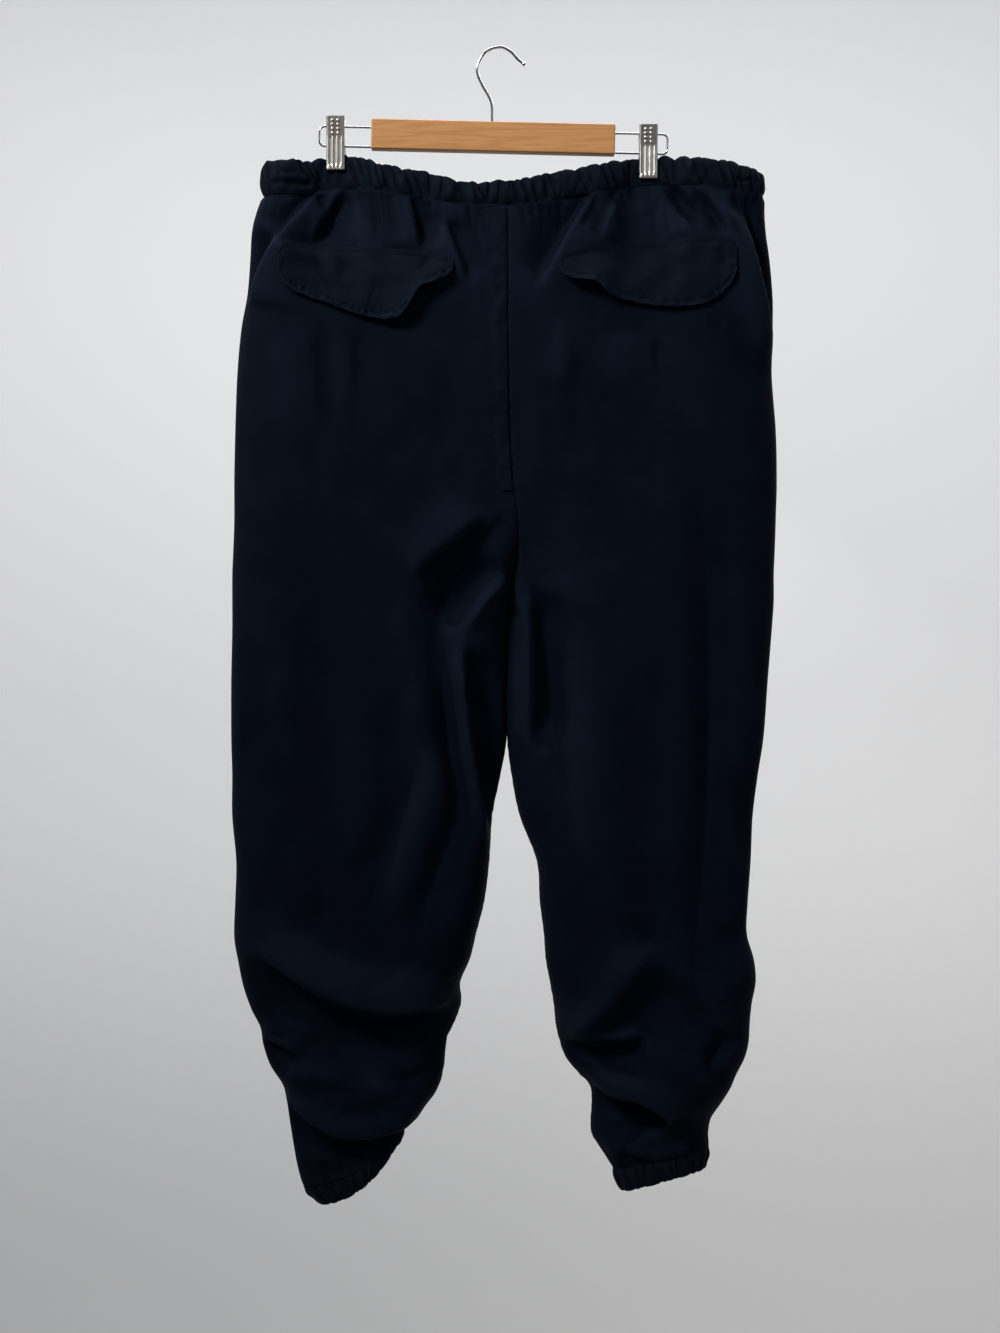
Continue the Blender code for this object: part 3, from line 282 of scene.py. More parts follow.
# ------------------------------------------------------------ what only the looks have
# Gathers of the front's waist, from the casing's top edge through the seam: how deep each is
# and how far it runs down the panel below.
Gather = namedtuple("Gather", "x_top x_seam depth below")
FRONT_GATHERS = named_rows(Gather, (
    (-232, -230, 1.6, 14), (-221, -218, 1, 10), (-205, -184, 2.6, 30), (-198, -180, 3, 38),
    (-190, -176, 2.4, 24), (-153, -141, 2.8, 30), (-143, -133, 1.8, 20), (-134, -127, 2.4, 45),
    (-124, -117, 2.3, 30), (-118, -110, 2.7, 26), (-108, -99, 1.5, 18), (-98, -86, 3.1, 45),
    (-88, -76, 2, 25), (-70, -69, 2.7, 22), (-57, -60, 1.4, 16), (-43, -32, 3.2, 30), (-31, -20, 2.4, 20),
    (-22, -11, 2.5, 16), (-10, -11, 1.8, 12), (0, -2, 1.2, 10), (14, 21, 2.2, 14), (20, 31, 2.7, 22),
    (30, 40, 2.9, 30), (41, 49, 2.4, 26), (50, 58, 2, 20), (62, 60, 1.3, 14), (75, 90, 2.9, 34),
    (86, 96, 1.8, 20), (100, 112, 3.1, 40), (108, 120, 2.4, 26), (122, 130, 1.3, 16), (131, 131, 1.8, 18),
    (160, 172, 2.8, 28), (176, 176, 3.3, 34), (184, 192, 1.4, 16), (191, 204, 2.9, 30), (203, 214, 1.7, 18),
    (219, 232, 2.9, 36), (228, 238, 2.2, 24), (240, 246, 2, 18), (252, 254, 2.3, 14), (259, 260, 1.8, 10),
))
BACK_GATHER_STEP = (7.0, 17.0)     # how far apart the back's gathers are
HEM_GATHER_STEP = (5.0, 11.0)      # and those round an ankle
CREASE_WIDTH = 1.3                 # the sharp bottom of a gather
CREASE_SPREAD = 3.4                # and its soft shoulders

# Creases too fine for the solids: a curve as a fold's, how high it rises (or sinks, below
# zero) and its width.
Crease = namedtuple("Crease", "x0 z0 x1 z1 x2 z2 rise width")
CREASES = {
    (FRONT, RIGHT): named_rows(Crease, (
        (-132, -138, -124, -172, -122, -202, -4.4, 3.4), (-146, -140, -140, -170, -136, -204, 2.4, 9),
        (-70, -148, -69, -160, -66, -174, 2.6, 7), (-108, -150, -106, -170, -104, -200, -1.6, 5),
        (-215, -262, -205, -330, -208, -420, 2.6, 22), (-176, -272, -174, -330, -171, -402, -2.8, 9),
        (-139, -282, -138, -320, -138, -362, -1.8, 5), (-155, -275, -157, -330, -156, -400, 1.6, 10),
        (-120, -285, -118, -352, -124, -430, 1.3, 16), (-62, -300, -58, -360, -64, -430, -1.3, 14),
        (-38, -590, -31, -690, -10, -806, 3, 4), (10, -526, -16, -552, -37, -588, 3, 4),
        (9, -460, -7, -486, -24, -505, -3.6, 5), (-12, -469, -24, -478, -34, -480, -1.8, 3),
        (-12, -548, 0, -551, 8, -549, -3, 2.6), (-16, -560, 0, -563, 7, -562, 1.6, 3),
        (-96, -590, -112, -680, -104, -760, -2.2, 18), (-128, -620, -144, -720, -138, -820, 1.6, 20),
        (-182, -520, -188, -640, -182, -780, -2, 18), (-216, -500, -222, -640, -216, -790, 1.6, 20),
        (-246, -560, -250, -660, -246, -760, -1.2, 10), (-244, -640, -222, -700, -206, -780, -1, 12),
        (-47, -738, -40, -760, -36, -800, 1.4, 8), (-118, -800, -128, -850, -120, -900, 1.8, 15),
        (-180, -830, -172, -880, -150, -930, -2.2, 14), (-226, -840, -214, -880, -188, -924, 2, 12),
        (-258, -890, -226, -926, -190, -946, -3, 9), (-190, -940, -150, -958, -96, -960, -2.4, 8),
        (-120, -968, -90, -966, -52, -950, -2.2, 6), (-232, -956, -204, -972, -176, -978, 2.4, 8),
        (-100, -986, -78, -992, -52, -984, 2, 6), (-236, -978, -224, -984, -206, -984, -2.6, 4),
        (-206, -1006, -178, -1018, -150, -1014, 2.4, 8), (-196, -1020, -168, -1034, -132, -1036, -2.6, 7),
        (-140, -1020, -112, -1030, -84, -1022, 2, 6), (-214, -1040, -200, -1050, -188, -1052, 2.2, 5),
        (-212, -1056, -188, -1072, -168, -1078, -2.2, 5), (-166, -1086, -146, -1092, -124, -1088, -2, 5),
        (-200, -1090, -176, -1102, -152, -1106, 2, 6), (-186, -1112, -164, -1116, -140, -1110, -2, 4),
        (-170, -1124, -152, -1124, -128, -1108, 1.8, 5),
    )),
    (FRONT, LEFT): named_rows(Crease, (
        (101, -146, 90, -166, 72, -196, -4, 4), (176, -140, 184, -158, 204, -180, -3.6, 5),
        (226, -146, 240, -170, 248, -196, -3, 5), (218, -148, 238, -176, 246, -228, -2, 7),
        (64, -268, 60, -310, 62, -350, 2.4, 10), (84, -280, 76, -350, 78, -430, -2.2, 12),
        (115, -282, 118, -310, 116, -352, 2, 22), (156, -290, 156, -312, 156, -336, -2.2, 4),
        (178, -276, 176, -330, 182, -400, 1.2, 20), (200, -268, 214, -280, 226, -282, -1.6, 7),
        (226, -262, 240, -300, 250, -350, -1.8, 12), (30, -330, 27, -380, 30, -440, 1.4, 12),
        (60, -430, 68, -520, 58, -620, 1.4, 16), (152, -500, 160, -640, 150, -790, -1.6, 20),
        (226, -480, 230, -620, 222, -760, 1.4, 18), (26, -536, 30, -620, 27, -704, 2.2, 4),
        (15, -456, 21, -496, 30, -534, -4.4, 3.2), (8, -562, 15, -564, 22, -561, -3, 2.6),
        (16, -580, 18, -650, 14, -710, 1.8, 8), (60, -700, 74, -760, 96, -820, 1.8, 12),
        (120, -780, 140, -850, 134, -910, -1.4, 14), (236, -690, 240, -780, 238, -860, -1.6, 9),
        (228, -770, 244, -830, 246, -900, 2.2, 9), (200, -800, 214, -860, 218, -930, -2, 12),
        (158, -896, 130, -936, 112, -958, -2.6, 9), (140, -880, 150, -920, 170, -950, 1.8, 12),
        (96, -940, 84, -964, 78, -984, 2, 8), (244, -978, 226, -1000, 216, -1004, 2.2, 6),
        (206, -966, 220, -990, 214, -1016, -2.4, 8), (92, -1002, 116, -1008, 142, -1004, -2.4, 6),
        (104, -1020, 128, -1028, 150, -1042, 2.4, 6), (140, -1060, 152, -1070, 164, -1066, -2.4, 4),
        (94, -1034, 104, -1040, 120, -1042, -2.2, 4), (96, -1052, 110, -1062, 128, -1066, 2, 5),
        (126, -1098, 142, -1106, 158, -1104, -2.6, 5), (184, -1082, 194, -1096, 202, -1112, -2.4, 5),
        (100, -1080, 112, -1096, 124, -1106, 2, 4), (172, -1040, 186, -1056, 202, -1058, 2.2, 6),
    )),
    (BACK, RIGHT): named_rows(Crease, (
        (-190, -262, -184, -340, -190, -430, 1.8, 20), (-150, -270, -146, -350, -154, -450, -1.8, 15),
        (-104, -280, -100, -360, -108, -450, 1.4, 20), (-60, -300, -56, -370, -62, -440, -1.2, 14),
        (-14, -462, -34, -486, -60, -500, -1.8, 5), (0, -484, -24, -510, -52, -534, 1.6, 6),
        (-8, -520, -26, -540, -42, -572, -1.5, 4), (-120, -560, -132, -680, -124, -800, 1.8, 22),
        (-220, -500, -226, -640, -218, -780, 1.6, 20), (-150, -800, -160, -860, -140, -920, -2, 14),
        (-236, -860, -206, -900, -170, -924, -2.4, 9), (-120, -930, -90, -940, -54, -930, -2.2, 7),
        (-230, -950, -190, -972, -150, -978, 2.2, 8), (-110, -990, -84, -996, -58, -986, 2, 6),
        (-214, -1010, -176, -1028, -130, -1030, -2.4, 7), (-206, -1040, -170, -1052, -120, -1048, 2.2, 7),
        (-200, -1072, -166, -1092, -116, -1084, -2.4, 6), (-186, -1104, -160, -1112, -130, -1104, 2, 5),
    )),
    (BACK, LEFT): named_rows(Crease, (
        (190, -262, 186, -340, 192, -430, 1.8, 20), (140, -270, 136, -350, 144, -450, -1.6, 15),
        (92, -280, 88, -360, 96, -450, 1.4, 20), (52, -300, 50, -370, 54, -440, -1.2, 14),
        (22, -484, 44, -506, 66, -540, 1.6, 6), (18, -520, 34, -544, 46, -580, -1.5, 4),
        (120, -560, 130, -680, 122, -800, 1.8, 22), (226, -480, 232, -620, 224, -760, 1.4, 20),
        (150, -800, 160, -870, 146, -930, -2, 14), (70, -880, 110, -920, 150, -936, 2, 10),
        (248, -920, 214, -950, 176, -960, -2.4, 8), (74, -980, 110, -1004, 150, -1006, 2.2, 7),
        (236, -1000, 206, -1014, 170, -1016, 2, 6), (92, -1046, 130, -1068, 176, -1066, -2.4, 6),
        (104, -1078, 136, -1090, 170, -1084, 2, 5),
    )),
}

FLAP_CREASES = {
    RIGHT: named_rows(Crease, (
        (-186, -206, -174, -232, -158, -254, -3, 6), (-152, -214, -155, -228, -160, -242, -2, 5),
        (-176, -204, -164, -222, -150, -250, 1.8, 8), (-132, -210, -136, -232, -128, -256, 1.4, 9),
        (-70, -212, -74, -222, -84, -236, -2.2, 4),
    )),
    LEFT: named_rows(Crease, (
        (120, -204, 124, -222, 132, -252, -1.6, 8), (160, -200, 166, -224, 164, -256, -2.2, 8),
        (174, -200, 184, -214, 206, -222, 1.6, 8), (88, -208, 100, -222, 120, -236, 1.8, 8),
        (214, -200, 219, -212, 222, -230, -2, 4),
    )),
}
BUTTONHOLE = ((-124.0, -245.0), (-131.5, -265.5))   # on the right flap, from its upper end
BARTACKS = (-170.0, -210.5, -229.5, -245.5, -281.5, -370.5, -397.5)   # heights on the placket

# Folds along the front of the waist casing: from x, to x, the share of its height at each and
# their depth.
CASING_DENTS = {
    RIGHT: ((-234, -180, 0.36, 0.28, 4.4), (-229, -196, 0.7, 0.6, 1.6)),
    LEFT: ((138, 164, 0.45, 0.4, 2.4), (232, 259, 0.4, 0.5, 3.4)),
}

RIPPLE_SEED = 11


# ------------------------------------------------------------ settings that a user may change
def linear(code):
    """The linear colour of an sRGB hex code."""
    parts = [int(code[i : i + 2], 16) / 255 for i in (1, 3, 5)]
    return tuple(c / 12.92 if c <= 0.04045 else ((c + 0.055) / 1.055) ** 2.4 for c in parts)


def colour_setting(name, description, code):
    """A colour that a user may change."""
    return FloatVectorProperty(
        name=name, description=description, subtype="COLOR", min=0.0, max=1.0, default=linear(code)
    )


class ClothSettings(bpy.types.PropertyGroup):
    """The sizes and colours of the cloth and its thread."""

    wall: FloatProperty(
        name="Cloth", description="Thickness of the cloth, in millimetres", default=1.2, min=0.3
    )
    columns: IntProperty(
        name="Columns", description="Points across one leg panel", default=121, min=20, max=200
    )
    row_step: FloatProperty(
        name="Row step",
        description="Distance between a panel's rows in the middle of the leg, in millimetres",
        default=4.6,
        min=1.0,
    )
    gather: FloatProperty(
        name="Gathers", description="Share of the depth of the gathers", default=1.0, min=0.0
    )
    ripple: FloatProperty(
        name="Ripple", description="Height of the loose waves all over, in mm", default=0.6, min=0.0
    )
    cotton: colour_setting("Cotton", "Panels, washed black with a cast of navy", "#070c16")
    # This paler colour goes where the wash left clouds and on the fold ridges, where it is partly painted
    # light.
    faded: colour_setting("Faded", "Where black cotton has rubbed paler", "#111824")
    casing: colour_setting("Casing", "The casings, washed paler", "#0a0e13")
    flap: colour_setting("Flap", "The pocket flaps, faded by wear", "#080c14")
    thread: colour_setting("Thread", "Black sewing thread", "#090e17")


class HangerSettings(bpy.types.PropertyGroup):
    """The colours of the hanger."""

    wood: colour_setting("Wood", "Varnished beech", "#cd9661")
    grain: colour_setting("Grain", "The darker late wood of its grain", "#b5814f")
    chrome: colour_setting("Chrome", "Plating on the hook and the rails", "#c9cacc")
    nickel: colour_setting("Nickel", "Plating on the clips", "#b0aea9")


class StageSettings(bpy.types.PropertyGroup):
    """The camera, the lights and the backdrop."""

    distance: FloatProperty(
        name="Camera distance", description="From the cloth, in metres", default=1.9, min=0.5
    )
    light: FloatProperty(name="Light", description="Strength of the lights", default=1.0, min=0.0)
    backdrop: colour_setting("Backdrop", "Pale wall and floor", "#dfdfe0")


# ------------------------------------------------------------ the cloth's form
def bell(distance, width, power=2):
    """One at no distance, fading over a width."""
    return np.exp(-((distance / width) ** power))


def past(value, start, over):
    """Nearly zero above a start and nearly one below it, changing over a length."""
    return 1.0 / (1.0 + np.exp((value - start) / over))


def smooth(share):
    """A share from nought to one, starting and ending gently."""
    return share * share * (3 - 2 * share)


def unit(vectors):
    """Vectors brought to a length of one."""
    return vectors / np.linalg.norm(vectors, axis=-1, keepdims=True)


def waist_line(x, edge):
    """The height of the casing's top edge or of the waist seam at x."""
    stations = [row.x for row in WAIST]
    return np.interp(x, stations, [getattr(row, edge) for row in WAIST])


def pinch(x, below, depth):
    """The half depth at x when the nearer clip draws the cloth together above it."""
    near = sum(bell(x - clip, PINCH_WIDTH, 4) for clip in CLIP_X.values())
    hold = near * bell(below, PINCH_REACH)
    return depth - (depth - PINCHED_DEPTH) * np.clip(hold, 0.0, 1.0)


def nose(reach, half_width, depth):
    """The share of the depth that is left at a share of the way to a rounded edge."""
    fullness = np.maximum(2.5, NOSE_ROUND * np.abs(half_width) / depth)
    return np.sqrt(np.clip(1.0 - reach**fullness, 0.0, 1.0))


def level(section, side, face, count):
    """Points across one face of a leg at one section, from its inner to its outer edge."""
    across = np.linspace(0.0, 1.0, count)
    turned = min(1.0, TURN_SPREAD * section.turn)
    x_in = section.x_in + side * (INSEAM_STAND * turned - SEAM_LAP)
    x_mid = x_in + APEX * (section.x_out - x_in)
    inner = across < APEX
    even = np.where(inner, 1.0 - across / APEX, (across - APEX) / (1.0 - APEX))
    rounded = np.where(inner, section.turn, 1.0)
    reach = even + rounded * (np.sin(even * math.pi / 2) - even)
    half_width = np.where(inner, x_in - x_mid, section.x_out - x_mid)
    x = x_mid + half_width * reach
    depth = np.full(count, float(section.front if face == FRONT else section.back))
    depth = pinch(x, waist_line(section.x_in, "seam") - section.z_in, depth)
    share = nose(reach, half_width, depth)
    share = np.where(inner, 1.0 - section.turn * (1.0 - share), share)
    y = face * (NOSE_GAP + (depth - NOSE_GAP) * share)
    along = (x - x_in) / (section.x_out - x_in)
    z = section.z_in + along * (section.z_out - section.z_in)
    tilt = math.atan2(section.z_out - section.z_in, abs(section.x_out - x_in))
    hang = section.sag * 4.0 * along * (1.0 - along)
    x = x + side * hang * math.sin(tilt)
    z = z - hang * math.cos(tilt)
    return np.column_stack([x, y, z])


def follow_waist(grid):
    """Moves the upper rows of a panel up or down to the waist seam's own line."""
    straight = grid[0, :, 2].copy()
    wanted = waist_line(grid[0, :, 0], "seam") + TUCK
    for row in grid:
        row[:, 2] += (wanted - straight) * bell(straight - row[:, 2], WAIST_REACH)
    return grid


def along_curve(start, middle, end, x, z, steps=24):
    """Distance, signed side and share along a curve through three points of the front view."""
    start, middle, end = (np.array(p, float) for p in (start, middle, end))
    control = 2 * middle - 0.5 * (start + end)
    u = np.linspace(0.0, 1.0, steps + 1)[:, None]
    line = (1 - u) ** 2 * start + 2 * u * (1 - u) * control + u**2 * end
    step = np.diff(line, axis=0)
    offset = np.stack([x, z], axis=-1)[..., None, :] - line[:-1]
    share = np.clip((offset * step).sum(-1) / (step * step).sum(-1), 0.0, 1.0)
    gap = offset - share[..., None] * step
    distance = np.hypot(gap[..., 0], gap[..., 1])
    near = distance.argmin(-1)[..., None]
    side = step[:, 0] * offset[..., 1] - step[:, 1] * offset[..., 0]
    distance = np.take_along_axis(distance, near, -1)[..., 0]
    side = np.take_along_axis(side, near, -1)[..., 0]
    along = (near[..., 0] + np.take_along_axis(share, near, -1)[..., 0]) / len(step)
    return distance, side, along


def tapered(along, share):
    """Fades a fold over a share of its length at either end."""
    return smooth(np.clip(np.minimum(along, 1.0 - along) / share, 0.0, 1.0))


def fold_height(fold, x, z):
    """How far a fold of the solids moves the cloth outwards at points of the front view."""
    distance, side, along = along_curve(fold[0:2], fold[2:4], fold[4:6], x, z)
    if fold.rise < 0:
        bed = 0.55 * bell(distance, fold.reach)
        cut = 0.55 * np.exp(-distance / (0.55 * fold.reach))
        return fold.rise * (bed + cut) * tapered(along, 0.5)
    lip = fold.lip * (LIP_SHARE if fold.drop else 1.0)
    soft = fold.rise * bell(distance, fold.reach)
    trough = distance / (2 * lip)
    sharp = fold.rise * bell(distance, lip) - fold.drop * trough * np.exp(1.0 - trough)
    taper = 0.25 if fold.drop else 0.5
    return np.where(side >= 0, soft, sharp) * tapered(along, taper)


def crease_height(crease, x, z):
    """How far a finer crease moves the cloth: a narrow bottom or crest with soft shoulders."""
    distance, _, along = along_curve(crease[0:2], crease[2:4], crease[4:6], x, z, 10)
    narrow = bell(distance, crease.width)
    wide = bell(distance, 2.2 * crease.width)
    return crease.rise * (0.75 * narrow + 0.35 * wide) * tapered(along, 0.4)


def ripples(x, z, wave, seed, upright=0.5, waves=14):
    """Loose uneven waves of about that length, mostly upright, about one high."""
    draw = np.random.default_rng(seed)
    height = np.zeros_like(x)
    for _ in range(waves):
        length = wave * draw.uniform(0.6, 1.7)
        angle = draw.normal(0.0, upright)
        phase = draw.uniform(0.0, 2 * math.pi)
        bend = draw.uniform(0.3, 0.9) * np.sin(z / (2.3 * wave) + draw.uniform(0.0, 6.3))
        way = x * math.cos(angle) + z * math.sin(angle)
        height += np.sin(2 * math.pi * way / length + phase + bend)
    return height / math.sqrt(waves)


def crinkles(x, z, wave, seed, upright):
    """Thin uneven creases about that far apart, mostly upright, each one deep."""
    field = ripples(x, z, wave, seed, upright, waves=7)
    return bell(field, 0.3) * (0.6 + 0.4 * ripples(x, z, 2.2 * wave, seed + 50))


def outward(grid, face):
    """The unit normal of a panel's surface at each of its points, pointing out."""
    normal = np.cross(np.gradient(grid, axis=1), np.gradient(grid, axis=0))
    normal /= np.maximum(np.linalg.norm(normal, axis=-1, keepdims=True), 1e-9)
    middle = normal[:, normal.shape[1] // 2, 1]
    return normal * np.where(middle * face > 0, 1.0, -1.0)[:, None, None]


def rows_between(table, places):
    """Rows of a table at places between its own rows, on a smooth curve through them."""
    table = np.array(table, float)
    padded = np.vstack([2 * table[0] - table[1], table, 2 * table[-1] - table[-2]])
    start = np.clip(places.astype(int), 0, len(table) - 2)
    u = (places - start)[:, None]
    a, b, c, d = (padded[start + k] for k in range(4))
    return 0.5 * (
        2 * b + (c - a) * u + (2 * a - 5 * b + 4 * c - d) * u**2 + (3 * b - a - 3 * c + d) * u**3
    )


def panel_sections(side, step):
    """Sections down a leg, closer where the cloth is gathered and where it bunches."""
    table = SECTIONS[side]
    fine = np.linspace(0.0, len(table) - 1.0, 40 * len(table))
    rows = rows_between(table, fine)
    z = rows[:, 1]
    fine_top, fine_low = bell(z - z[0], 45.0), past(z, BUNCHED_BELOW, 18.0)
    spacing = step * (1.0 - 0.5 * fine_top - 0.38 * fine_low)
    moved = np.linalg.norm(np.diff(rows[:, [0, 1]], axis=0), axis=1)
    run = np.concatenate([[0.0], np.cumsum(moved / spacing[1:])])
    places = np.interp(np.linspace(0.0, run[-1], round(run[-1]) + 1), run, fine)
    made = rows_between(table, places)
    made[:, -1] = np.clip(made[:, -1], 0.0, 1.0)
    return [Section(*row) for row in made]


# ------------------------------------------------------------ gathers
def uneven_steps(low, high, span, seed):
    """Uneven places from zero up to a length, and a draw of numbers for what stands there."""
    draw = np.random.default_rng(seed)
    places = []
    place = draw.uniform(low, high)
    while place < span - low:
        places.append(place)
        place += draw.uniform(low, high)
    return places, draw


def waist_gathers(side, face):
    """The gathers of one half of the waist on one face, from the front table or made up."""
    if face == FRONT:
        return [g for g in FRONT_GATHERS if g.x_seam * side >= 0]
    places, draw = uneven_steps(*BACK_GATHER_STEP, abs(CASING_END_X[side]) - 4.0, 40 + side)
    made = []
    for place in places:
        x = side * place
        if min(abs(x - clip) for clip in CLIP_X.values()) < JAW_WIDTH / 2 + 0.2:
            continue
        lean = draw.uniform(-6.0, 6.0)
        made.append(Gather(x + lean, x, draw.uniform(1.4, 3.2), draw.uniform(12.0, 42.0)))
    return made


def hem_gathers(side):
    """Gathers round one ankle: share of the way round, lean, depth and reach up the leg."""
    around = 2.0 * abs(SECTIONS[side][-1].x_out - SECTIONS[side][-1].x_in)
    places, draw = uneven_steps(*HEM_GATHER_STEP, around, 70 + side)
    made = []
    for place in places:
        lean = draw.uniform(-3.0, 3.0) / around
        made.append((place / around, lean, draw.uniform(1.2, 2.6), draw.uniform(10.0, 34.0)))
    return made


def groove(distance, spread=CREASE_SPREAD):
    """How deep a gather is at a distance from its bottom: a pinch with soft shoulders."""
    return 0.35 * bell(distance, CREASE_WIDTH) + 0.65 * np.exp(-np.abs(distance) / spread)


# ------------------------------------------------------------ meshes
def blurred(values, radius):
    """A grid of values smoothed over a number of its points each way."""
    for axis in (0, 1):
        pad = [(radius + 1, radius) if k == axis else (0, 0) for k in (0, 1)]
        run = np.cumsum(np.pad(values, pad, mode="edge"), axis=axis)
        count = values.shape[axis]
        ahead = np.take(run, np.arange(count) + 2 * radius + 1, axis)
        values = (ahead - np.take(run, np.arange(count), axis)) / (2 * radius + 1)
    return values


def lengths(grid, axis):
    """The distance along each line of a grid from its first point."""
    step = np.linalg.norm(np.diff(grid, axis=axis), axis=-1)
    start = np.zeros_like(np.take(step, [0], axis))
    return np.concatenate([start, np.cumsum(step, axis=axis)], axis=axis)


def grid_mesh(name, grid, uv, wear_and_fold_shade, closed=False, capped=False):
    """A mesh over a grid of points in millimetres. closed joins each row's end to its start."""
    rows, count = grid.shape[:2]
    corner = np.arange(rows * count).reshape(rows, count)
    if closed:
        corner = np.column_stack([corner, corner[:, :1]])
    faces = [corner[:-1, :-1], corner[:-1, 1:], corner[1:, 1:], corner[1:, :-1]]
    faces = np.stack(faces, -1).reshape(-1, 4)
    wide = uv.shape[1]
    spot = np.arange(rows * wide).reshape(rows, wide)
    spots = [spot[:-1, :-1], spot[:-1, 1:], spot[1:, 1:], spot[1:, :-1]]
    places = uv.reshape(-1, 2)[np.stack(spots, -1).ravel()]
    listed = faces.tolist()
    if capped:
        listed += [corner[0, :count][::-1].tolist(), corner[-1, :count].tolist()]
        places = np.vstack([places, uv[0, :count][::-1], uv[-1, :count]])
    mesh = bpy.data.meshes.new(name)
    mesh.from_pydata((grid.reshape(-1, 3) * MM).tolist(), [], listed)
    layer = mesh.uv_layers.new(name="cloth")
    layer.uv.foreach_set("vector", (places * MM).astype(np.float32).ravel())
    # A per-point value, paler on fold ridges and darker in creases: partly wear of the dye on the ridges,
    # partly painted light and painted shade of the folds.
    worn_and_shaded = mesh.attributes.new("wear_and_fold_shade", "FLOAT", "POINT")
    worn_and_shaded.data.foreach_set("value", np.clip(wear_and_fold_shade, 0.0, 1.0).astype(np.float32).ravel())
    return mesh


def place(name, data):
    """An object in the scene."""
    obj = bpy.data.objects.new(name, data)
    bpy.context.scene.collection.objects.link(obj)
    return obj


def plain_mesh(obj):
    """The mesh that an object's curve or modifiers make."""
    bpy.context.view_layer.update()
    graph = bpy.context.evaluated_depsgraph_get()
    return bpy.data.meshes.new_from_object(obj.evaluated_get(graph))


def surface_uv(grid):
    """A cloth's own places across and down, in millimetres."""
    return np.stack([lengths(grid, 1), lengths(grid, 0)], -1)


def add_piece(name, mesh, finish):
    """A finished piece of the visual, smooth shaded and with its faces turned outward."""
    work = bmesh.new()
    work.from_mesh(mesh)
    bmesh.ops.recalc_face_normals(work, faces=work.faces)
    work.to_mesh(mesh)
    work.free()
    mesh.shade_smooth()
    mesh.materials.append(finish)
    return place(name, mesh)


def give_wall(obj, thickness):
    """Gives a middle surface its thickness, half to each side."""
    wall = obj.modifiers.new("Wall", "SOLIDIFY")
    wall.thickness = thickness * MM
    wall.offset = 0.0
    return obj


def stand_in(obj, slot, *nodes):
    """Puts a piece in the place of solids, to move with the garment."""
    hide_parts(*nodes)
    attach(obj, "root")
    return obj


def surface_of(objects):
    """The outer surfaces of objects as one tree, to lay other pieces and stitches on."""
    bpy.context.view_layer.update()
    graph = bpy.context.evaluated_depsgraph_get()
    points, faces = [], []
    for obj in objects:
        mesh = obj.evaluated_get(graph).to_mesh()
        start = len(points)
        points += [obj.matrix_world @ v.co for v in mesh.vertices]
        faces += [[start + k for k in face.vertices] for face in mesh.polygons]
        obj.evaluated_get(graph).to_mesh_clear()
    return BVHTree.FromPolygons(points, faces)


def stands_out(tree, x, z, face=FRONT, spread=0.0):
    """How far out a surface stands round a point of the front or the back view, as a y."""
    found = []
    offsets = (-spread, 0.0, spread) if spread else (0.0,)
    for dx in offsets:
        for dz in offsets:
            start = Vector(((x + dx) * MM, face * RAY_START * MM, (z + dz) * MM))
            hit = tree.ray_cast(start, Vector((0.0, -face, 0.0)))[0]
            if hit and hit.y * face > 0:
                found.append(hit.y / MM * face)
    return max(found) * face if found else None


# ------------------------------------------------------------ the four leg panels
def gathered(gathers, x, z, seam):
    """How the gathers of the waist run on down a panel: troughs that widen and fade."""
    below = np.maximum(seam - z, 0.0)
    held = 1.0 - bell(below, HELD_FLAT)
    height = FULLNESS * held * np.exp(-below / FULL_REACH)
    for g in gathers:
        slant = (g.x_seam - g.x_top) / CASING_HEIGHT
        centre = g.x_seam + slant * below * 0.8
        widen = 1.5 + below / 11.0
        fade = held * bell(below, g.below, 1.4)
        height = height - PANEL_GATHER * g.depth * groove((x - centre) / widen) * fade
    return height


def bunched(gathers, share, above, girth):
    """How the gathers of an ankle run on up the leg."""
    held = 1.0 - bell(above, HELD_FLAT)
    height = 0.5 * FULLNESS * held * np.exp(-above / FULL_REACH)
    for place, lean, depth, reach in gathers:
        centre = place + lean * above / 20.0
        away = (share - centre + 0.5) % 1.0 - 0.5
        widen = 1.3 + above / 10.0
        fade = held * bell(above, reach, 1.3)
        height = height - 0.8 * depth * groove(away * girth / widen) * fade
    return height


def pucker(along, edge, seed):
    """The small puckers of a sewn edge, by the length along it and the distance to it."""
    wave = ripples(along, edge, PUCKER_WAVE, seed, upright=0.25, waves=6)
    return PUCKER_HEIGHT * wave * bell(edge, PUCKER_REACH)


